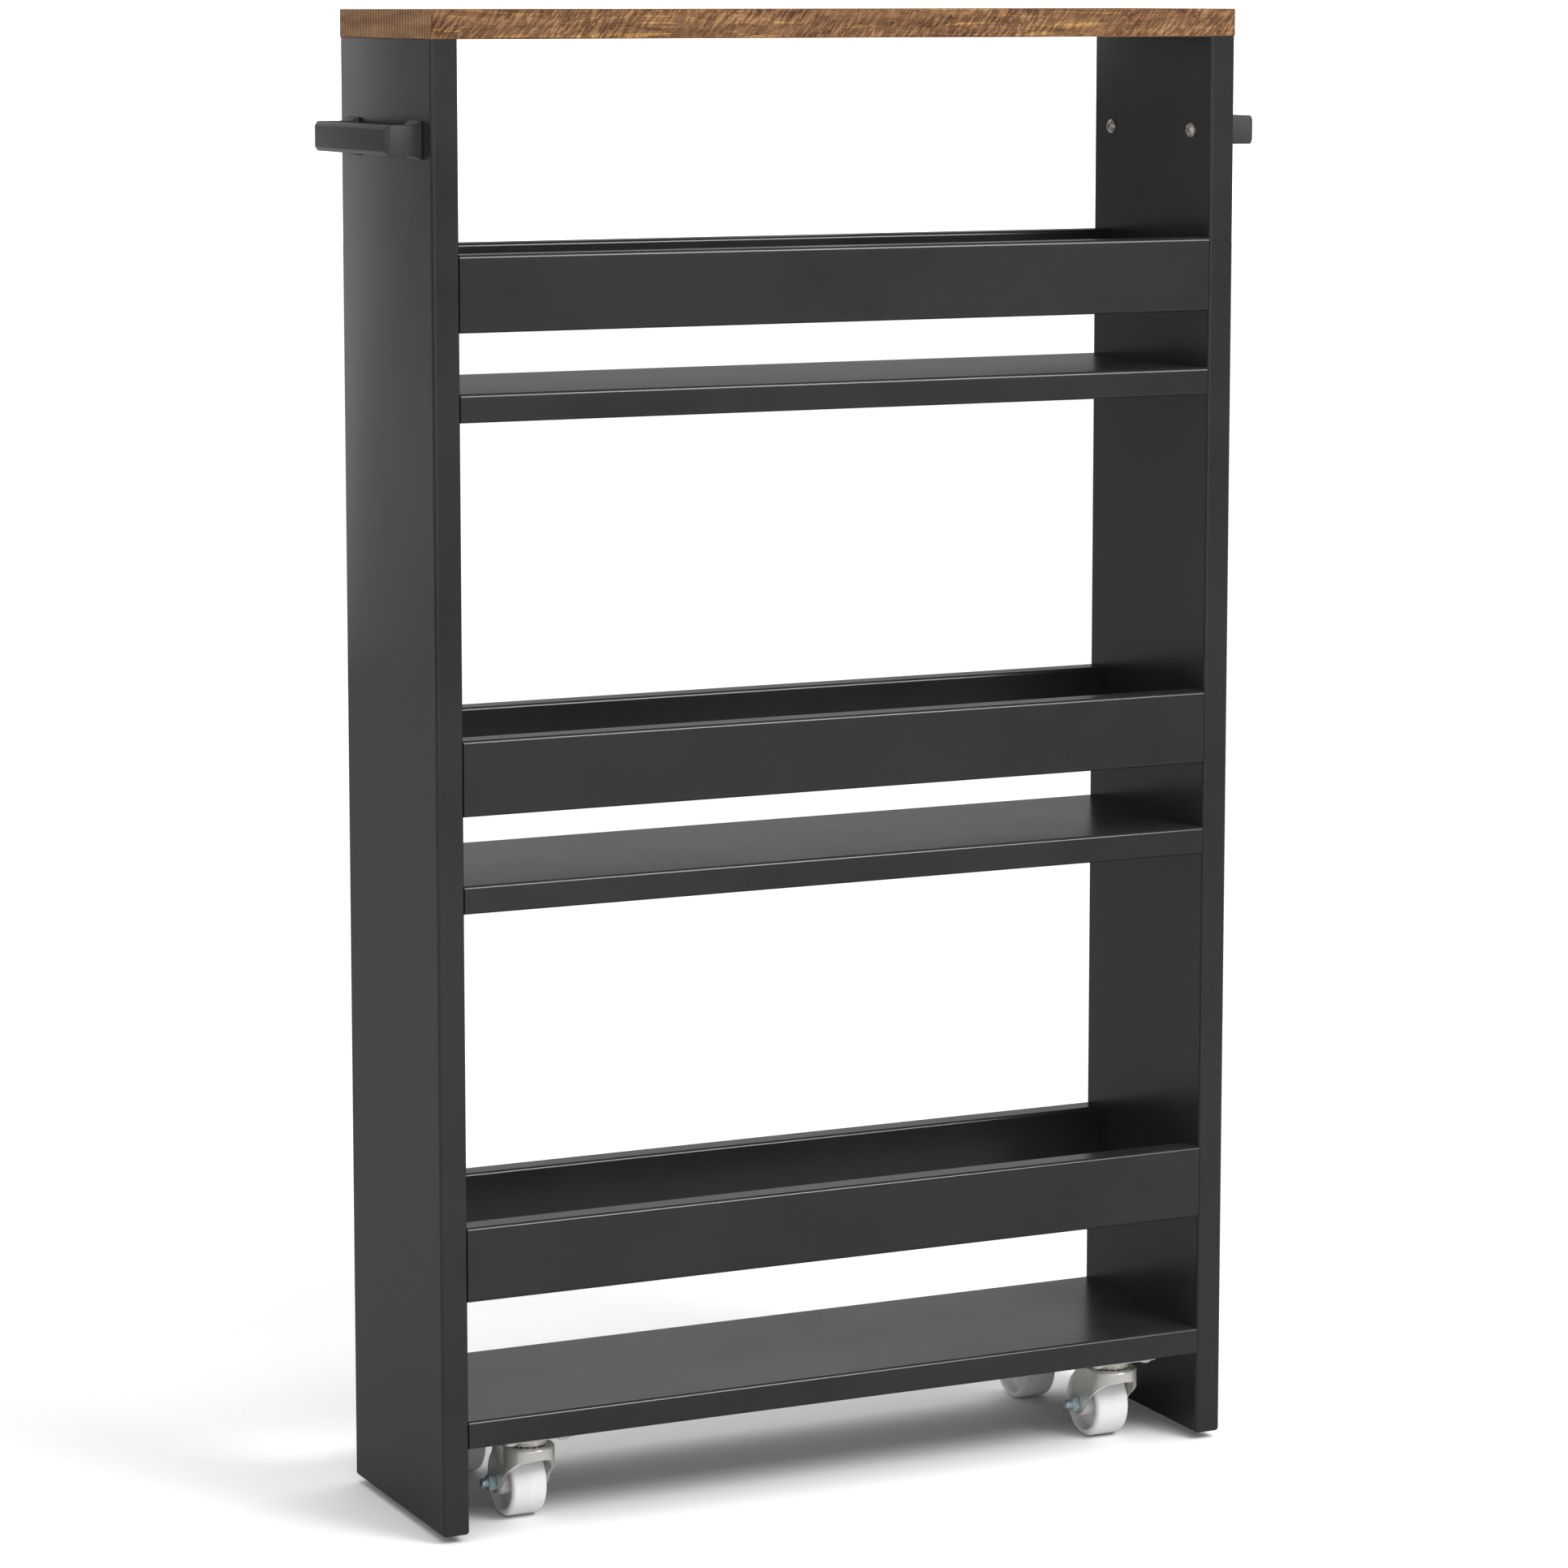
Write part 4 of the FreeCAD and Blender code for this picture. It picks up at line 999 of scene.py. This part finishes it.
@dataclass
class CastorShapes:
    """The shaped pieces of one castor, drawn with its swivel axis on Z and the floor at 0."""

    radius: float
    top: float
    foot: float
    trail: float
    axle: float
    plate_half: Vector
    sheet: float = 1.6 * MM
    flank: float = 13.4 * MM
    leg_end: float = 6.2 * MM
    top_round: float = 1.2 * MM
    rim_round: float = 0.42 * MM
    rear_top: float = 1.2 * MM
    front_foot: float = 3.3 * MM
    waist_ahead: float = 13.5 * MM
    waist_rise: float = 5.4 * MM
    waist_round: float = 7.0 * MM
    skirt_ahead: float = 9.2 * MM
    skirt_drop: float = 8.2 * MM
    skirt_round: float = 9.0 * MM
    skirt_front: float = 3.6 * MM
    groove: float = 11.6 * MM
    groove_size: float = 0.9 * MM
    wheel: float = 19.0 * MM
    tread: float = 10.0 * MM
    rim_wall: float = 3.5 * MM
    web: float = 4.0 * MM
    hub: float = 7.0 * MM
    hub_nose: float = 11.6 * MM
    hub_bore: float = 4.06 * MM
    hex_flats: float = 8.0 * MM
    hex_height: float = 4.0 * MM
    thread: float = 2.5 * MM
    thread_end: float = 3.6 * MM
    plate_corner: float = 4.0 * MM
    boss: float = 10.0 * MM
    boss_foot: float = 11.9 * MM
    dish: float = 8.4 * MM
    screw_hole: float = 2.1 * MM
    screws_across: float = 15.0 * MM
    screws_along: float = 11.0 * MM
    pin: float = 3.06 * MM
    track: float = 7.6 * MM
    ball: float = 1.24 * MM

    def fork(self) -> Workpiece:
        """Presses the fork: a round top whose skirt runs back into two flat legs.

        Returns:
            The fork.
        """
        back = self.trail + self.leg_end + 4.0 * MM
        shell = Workpiece().blunt_block(self.radius, self.flank, back, self.foot - 3.0 * MM,
                                        self.top, 56)
        shell.soften(self.top_round, 5, 60.0, shell.beyond(2, self.top))
        ceiling = self.top - self.sheet
        inside = Workpiece().blunt_block(self.radius - self.sheet, self.flank - self.sheet,
                                         back + MM, self.foot - 5.0 * MM, ceiling, 48)
        inside.soften(self.top_round * 0.5, 3, 60.0, inside.beyond(2, ceiling))
        shell.carved(inside).carved(self.side_outline(), Carve.KEEP_COMMON)
        shell.carved(self.drill(self.pin, self.foot, self.top + MM))
        shell.carved(self.ring(self.track, self.ball, self.top + 0.35 * MM))
        shell.carved(self.ring(self.groove, self.groove_size, self.top + 0.25 * MM))
        return shell.soften(self.rim_round, 3, 40.0, self.on_rim)

    def side_outline(self) -> Workpiece:
        """A bar with the fork's side view, which cuts its legs and skirt to shape.

        Returns:
            The bar.
        """
        spare, side = 4.0 * MM, 1.2 * self.radius
        over, ahead = self.top + spare, -self.radius - spare
        lean = (self.leg_end - self.rear_top) / (self.top - self.axle)
        outline = [(ahead, over, 0.0),
                   (self.trail + self.rear_top - lean * spare, over, 0.0),
                   (self.trail + self.leg_end + lean * (self.axle - self.foot), self.foot,
                    self.leg_end),
                   (self.trail - self.front_foot, self.foot, self.leg_end),
                   (self.trail - self.waist_ahead, self.axle + self.waist_rise,
                    self.waist_round),
                   (-self.skirt_ahead, self.top - self.skirt_drop, self.skirt_round),
                   (ahead, self.top - self.skirt_front, 0.0)]
        corners = [Vector((0, y, z)) for y, z, _ in outline]
        bar = Workpiece().prism(corners, Vector((2 * side, 0, 0)),
                                [rounding for _, _, rounding in outline])
        return bar.moved(Matrix.Translation((-side, 0, 0)))

    def on_rim(self, edge: bmesh.types.BMEdge) -> bool:
        """Whether an edge lies on the cut rim of the skirt and legs, below the top."""
        return all(point.co.z < self.top - self.sheet * 0.8
                   and point.co.xy.length > self.pin * 1.5 for point in edge.verts)

    def rolling(self) -> Matrix:
        """Turns a piece drawn on Z onto the axle, along X."""
        return (Matrix.Translation((0, self.trail, self.axle))
                @ Matrix.Rotation(math.pi / 2, 4, "Y"))

    def wheel_shape(self) -> Workpiece:
        """Moulds the wheel: a tread with a parting line, recessed webs and a long hub.

        Returns:
            The wheel.
        """
        rim = self.wheel - self.rim_wall
        half = [Turn(self.hub_bore, self.hub_nose, 0.25 * MM),
                Turn(self.hub, self.hub_nose, 0.6 * MM),
                Turn(self.hub + 0.4 * MM, self.web, 0.8 * MM),
                Turn(rim - 0.5 * MM, self.web, 1.0 * MM), Turn(rim, self.tread, 0.5 * MM),
                Turn(self.wheel - 0.12 * MM, self.tread, 2.2 * MM),
                Turn(self.wheel - 0.03 * MM, 0.25 * MM), Turn(self.wheel, 0.08 * MM)]
        mirrored = [Turn(turn.radius, -turn.height, turn.rounding) for turn in reversed(half)]
        return Workpiece().turned(half + mirrored, 96).moved(self.rolling())

    def hex_ring(self, bore: float) -> Workpiece:
        """A hexagon with both faces chamfered round.

        Args:
            bore: The radius of its bore, or 0 for none.

        Returns:
            The hexagon, standing on z = 0.
        """
        height, wide, bite = self.hex_height, self.hex_flats / math.sqrt(3), 0.55 * MM
        low, high, rim = wide - bite * 1.6, height - bite, wide + 0.02 * MM
        ring = [Turn(bore, 0), Turn(low, 0), Turn(rim, bite), Turn(rim, high),
                Turn(low, height), Turn(bore, height)]
        bar = Workpiece().hexagon(self.hex_flats, height)
        bar.carved(Workpiece().turned(ring, 48), Carve.KEEP_COMMON)
        return bar.soften(0.12 * MM, 2, 20.0)

    def nut(self) -> Workpiece:
        """The nut on the -X leg."""
        seat = Matrix.Translation((0, 0, -self.flank - self.hex_height))
        return self.hex_ring(self.thread).moved(self.rolling() @ seat)

    def bolt(self) -> Workpiece:
        """The bolt: head on the +X leg, a few thread rings and a domed tip past the nut.

        Returns:
            The bolt.
        """
        head = self.hex_ring(0.0).moved(Matrix.Translation((0, 0, self.flank)))
        tip = -self.flank - self.hex_height - self.thread_end
        root = self.thread - 0.28 * MM
        profile = [Turn(0, tip), Turn(self.thread * 0.9, tip, 0.8 * MM),
                   Turn(self.thread, tip + 1.2 * MM)]
        for ring in range(2):
            level = tip + (1.45 + 0.8 * ring) * MM
            profile += [Turn(root, level), Turn(root, level + 0.25 * MM),
                        Turn(self.thread, level + 0.45 * MM)]
        profile += [Turn(self.thread, self.flank + MM), Turn(0, self.flank + MM)]
        shank = Workpiece().turned(profile, 40)
        return head.carved(shank, Carve.UNITE).moved(self.rolling())

    def plate(self, low: float, high: float) -> Workpiece:
        """Presses the plate with its dished boss.

        Args:
            low: The face of the boss.
            high: The top of the plate.

        Returns:
            The plate.
        """
        sheet, face = self.sheet, high - self.sheet
        corners = [Vector((x * self.plate_half.x, y * self.plate_half.y, face))
                   for x, y in ((-1, -1), (1, -1), (1, 1), (-1, 1))]
        work = Workpiece().prism(corners, Vector((0, 0, sheet)), [self.plate_corner] * 4)
        work.soften(0.3 * MM, 2, 60.0)
        boss = [Turn(0, low), Turn(self.boss, low, 0.9 * MM),
                Turn(self.boss + MM, face - 0.2 * MM), Turn(self.boss_foot, face + 0.3 * MM),
                Turn(0, face + 0.3 * MM)]
        work.carved(Workpiece().turned(boss, 64), Carve.UNITE)
        dish = [Turn(0, low + sheet), Turn(self.dish, low + sheet, 0.8 * MM),
                Turn(self.dish + MM, high + MM), Turn(0, high + MM)]
        work.carved(Workpiece().turned(dish, 48)).carved(self.drill(self.pin, low - MM, high))
        work.carved(self.ring(self.track, self.ball, low - 0.35 * MM))
        for x in (-self.screws_across, self.screws_across):
            for y in (-self.screws_along, self.screws_along):
                hole = self.drill(self.screw_hole, low, high + MM)
                work.carved(hole.moved(Matrix.Translation((x, y, 0))))
        return work

    @staticmethod
    def drill(radius: float, low: float, high: float) -> Workpiece:
        """Gives a round bar on Z, to cut a hole with."""
        return Workpiece().turned([Turn(0, low), Turn(radius, low), Turn(radius, high),
                                   Turn(0, high)], 32)

    @staticmethod
    def ring(middle: float, radius: float, height: float) -> Workpiece:
        """Gives a round ring about Z, to cut a groove with.

        Args:
            middle: The radius of the ring's middle line.
            radius: Half the ring's thickness.
            height: The level of its middle line.

        Returns:
            The ring.
        """
        work = Workpiece()
        bmesh.ops.create_circle(work.mesh, segments=16, radius=radius, matrix=(
            Matrix.Translation((middle, 0, height)) @ Matrix.Rotation(math.pi / 2, 4, "X")))
        bmesh.ops.spin(work.mesh, geom=work.mesh.verts[:] + work.mesh.edges[:], cent=(0, 0, 0),
                       axis=(0, 0, 1), angle=math.tau, steps=56, use_merge=True)
        return work.closed()


@dataclass
class Castors:
    """Four swivel castors, shaped once and set in their four places."""

    shop: Paintshop

    def build(self) -> None:
        """Shapes the pieces of one castor and copies them to each corner."""
        low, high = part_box("front_left_fork")
        plate_low, plate_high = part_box("front_left_castor_plate")
        wheel_low, wheel_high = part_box("front_left_wheel")
        radius = (high.x - low.x) / 2
        shapes = CastorShapes(radius, high.z, low.z,
                              trail=(wheel_low.y + wheel_high.y) / 2 - low.y - radius,
                              axle=wheel_high.z / 2, plate_half=(plate_high - plate_low) / 2)
        masters = {
            "fork": shapes.fork().as_mesh("fork", 35.0),
            "wheel": shapes.wheel_shape().as_mesh("wheel", 50.0),
            "axle_bolt": shapes.bolt().as_mesh("bolt", 28.0),
            "axle_nut": shapes.nut().as_mesh("nut", 28.0),
            "castor_plate": shapes.plate(plate_low.z, plate_high.z).as_mesh("plate", 30.0),
        }
        for corner in Corner:
            self.place(corner, masters, radius)

    def place(self, corner: Corner, masters: Mapping[str, bpy.types.Mesh], radius: float) -> None:
        """Sets one castor's pieces in place and dresses what stays packed.

        Args:
            corner: Which castor.
            masters: The mesh of each shaped piece.
            radius: The radius of the fork's round top.
        """
        name = corner.value
        low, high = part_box(f"{name}_fork")
        spot = Matrix.Translation(((low.x + high.x) / 2, low.y + radius, 0))
        dress = {
            "fork": ("pressed_fork", f"{name}_swivel_body", "zinc_steel", "zinc_plate"),
            "wheel": ("moulded_wheel", f"{name}_wheel_body", "wheel_plastic", "pale_plastic"),
            "axle_bolt": ("hex_bolt", f"{name}_swivel_body", "blue_zinc", "blue_zinc_plate"),
            "axle_nut": ("hex_nut", f"{name}_swivel_body", "blue_zinc", "blue_zinc_plate"),
            "castor_plate": ("pressed_plate", "cabinet", "zinc_steel", "zinc_plate"),
        }
        for part, (label, body, slot, finish) in dress.items():
            mesh = masters[part].copy()
            mesh.transform(spot)
            piece = put_in_scene(bpy.data.objects.new(f"{name}_{label}", mesh))
            self.shop.hand_over(piece, body, slot, finish, f"{name}_{part}")
        self.shop.dress_nodes([f"{name}_{part}" for part in ("king_pin", "race_cup", "axle_bush")],
                              "zinc_plate")
        self.shop.dress_nodes([f"{name}_swivel_balls"], "polished_steel")


# ---------------------------------------------------------------- studio


@dataclass(frozen=True)
class SoftLight:
    """One soft box."""

    name: str
    place: tuple[float, float, float]
    aim: tuple[float, float, float]
    size: tuple[float, float]
    watts: float
    diffuse: bool = True
    glossy: bool = True

    def build(self) -> None:
        """Hangs the light."""
        lamp = bpy.data.lights.new(self.name, "AREA")
        lamp.shape = "ELLIPSE"
        lamp.size, lamp.size_y = self.size
        lamp.energy = self.watts
        box = put_in_scene(bpy.data.objects.new(self.name, lamp))
        box.location = self.place
        way = Vector(self.aim) - Vector(self.place)
        box.rotation_euler = way.to_track_quat("-Z", "Y").to_euler()
        box.visible_camera = False
        box.visible_diffuse = self.diffuse
        box.visible_glossy = self.glossy


@dataclass
class Studio:
    """Pale floor, soft light and the camera."""

    floor_radius: float = 14.0
    floor_colour: Colour = (0.84, 0.84, 0.84)
    mirrored_floor: Colour = (0.24, 0.24, 0.235)
    matt_sky: float = 0.66
    gloss_sky: float = 0.16
    camera_place: tuple[float, float, float] = (-1.182, -2.4636, 0.8078)
    camera_yaw: float = 25.448
    camera_pitch: float = 7.481
    lens: float = 116.185
    shift: tuple[float, float] = (0.0037, -0.08)

    def build(self) -> None:
        """Sets the stage."""
        self.floor()
        self.sky()
        self.lights()
        self.camera()
        bpy.context.scene.view_settings.view_transform = "Standard"

    def floor(self) -> None:
        """A wide round floor."""
        work = Workpiece()
        bmesh.ops.create_circle(work.mesh, cap_ends=True, segments=96, radius=self.floor_radius)
        piece = work.as_object("studio_floor")
        material = bpy.data.materials.new("pale_floor")
        material.use_nodes = True
        material.node_tree.nodes.clear()
        wiring = Wiring(material.node_tree)
        mirrored = wiring.add("ShaderNodeLightPath").outputs["Is Glossy Ray"]
        pale, dim = (wiring.add("ShaderNodeBsdfDiffuse", {"Color": (*colour, 1.0)})
                     for colour in (self.floor_colour, self.mirrored_floor))
        mixed = wiring.add("ShaderNodeMixShader", {0: mirrored, 1: pale.outputs[0],
                                                   2: dim.outputs[0]})
        output = wiring.add("ShaderNodeOutputMaterial")
        wiring.feed(output.inputs["Surface"], mixed.outputs[0])
        piece.data.materials.append(material)

    def sky(self) -> None:
        """White behind the cart, a soft grey for its light and a darker one for its gloss."""
        world = bpy.data.worlds.new("soft_room")
        world.use_nodes = True
        world.node_tree.nodes.clear()
        wiring = Wiring(world.node_tree)
        ray = wiring.add("ShaderNodeLightPath").outputs
        level = wiring.maths("SUBTRACT", self.matt_sky, wiring.times(
            ray["Is Glossy Ray"], self.matt_sky - self.gloss_sky))
        level = wiring.maths("ADD", level, ray["Is Camera Ray"])
        glow = wiring.add("ShaderNodeBackground", {"Color": (1, 1, 1, 1.0), "Strength": level})
        output = wiring.add("ShaderNodeOutputWorld")
        wiring.feed(output.inputs["Surface"], glow.outputs[0])
        bpy.context.scene.world = world

    def lights(self) -> None:
        """An even overhead light, a key, and boxes that only show in the gloss."""
        self.overhead()
        middle = (0.0, 0.0, 0.4)
        for light in (
            SoftLight("key_box", (0.8, -1.5, 1.7), (0.0, 0.0, 0.75), (1.0, 1.0), 33.0),
            SoftLight("castor_box", (-0.3, -1.1, 0.12), (0.0, 0.0, 0.04), (1.0, 0.16), 1.7,
                      glossy=False),
            SoftLight("end_box", (-1.6, -0.5, 1.0), (-0.2, 0.0, 0.79), (0.6, 0.6), 2.2),
            SoftLight("front_box", (-0.9, -3.0, 0.7), middle, (2.6, 1.6), 8.0, diffuse=False),
            SoftLight("far_back_box", (4.3, 9.0, 3.9), middle, (9.0, 3.6), 35.0, diffuse=False),
            SoftLight("left_strip", (-0.262, 0.2, 0.85), (-0.262, 0.0, 0.85), (0.08, 0.84), 0.13,
                      diffuse=False),
            SoftLight("right_strip", (0.15, 0.25, 0.95), (0.15, 0.0, 0.95), (0.10, 0.4), 0.075,
                      diffuse=False),
        ):
            light.build()

    def overhead(self) -> None:
        """A wide light from above and the front right, the same all over the floor."""
        lamp = bpy.data.lights.new("overhead", "SUN")
        lamp.energy, lamp.angle = 2.0, math.radians(90.0)
        light = put_in_scene(bpy.data.objects.new("overhead", lamp))
        light.rotation_euler = Vector((-0.20, 0.25, -0.95)).to_track_quat("-Z", "Y").to_euler()
        light.visible_camera = False
        light.visible_glossy = False

    def camera(self) -> None:
        """The camera, level with the top and a little to the left."""
        lens = bpy.data.cameras.new("camera")
        lens.lens = self.lens
        lens.shift_x, lens.shift_y = self.shift
        camera = put_in_scene(bpy.data.objects.new("camera", lens))
        camera.location = self.camera_place
        camera.rotation_euler = (math.radians(90.0 - self.camera_pitch), 0.0,
                                 -math.radians(self.camera_yaw))
        bpy.context.scene.camera = camera


def main() -> None:
    """Builds every sub-assembly in order, then the studio round them."""
    logging.basicConfig(level=logging.INFO, format="%(name)s: %(message)s")
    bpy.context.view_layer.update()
    low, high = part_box("top_board")
    shop = Paintshop((low + high) / 2)
    Cabinet(shop).build()
    for side in Side:
        BarHandle(shop, side).build()
    HandleScrews(shop).build()
    Castors(shop).build()
    Studio().build()


if __name__ == "__main__":
    main()
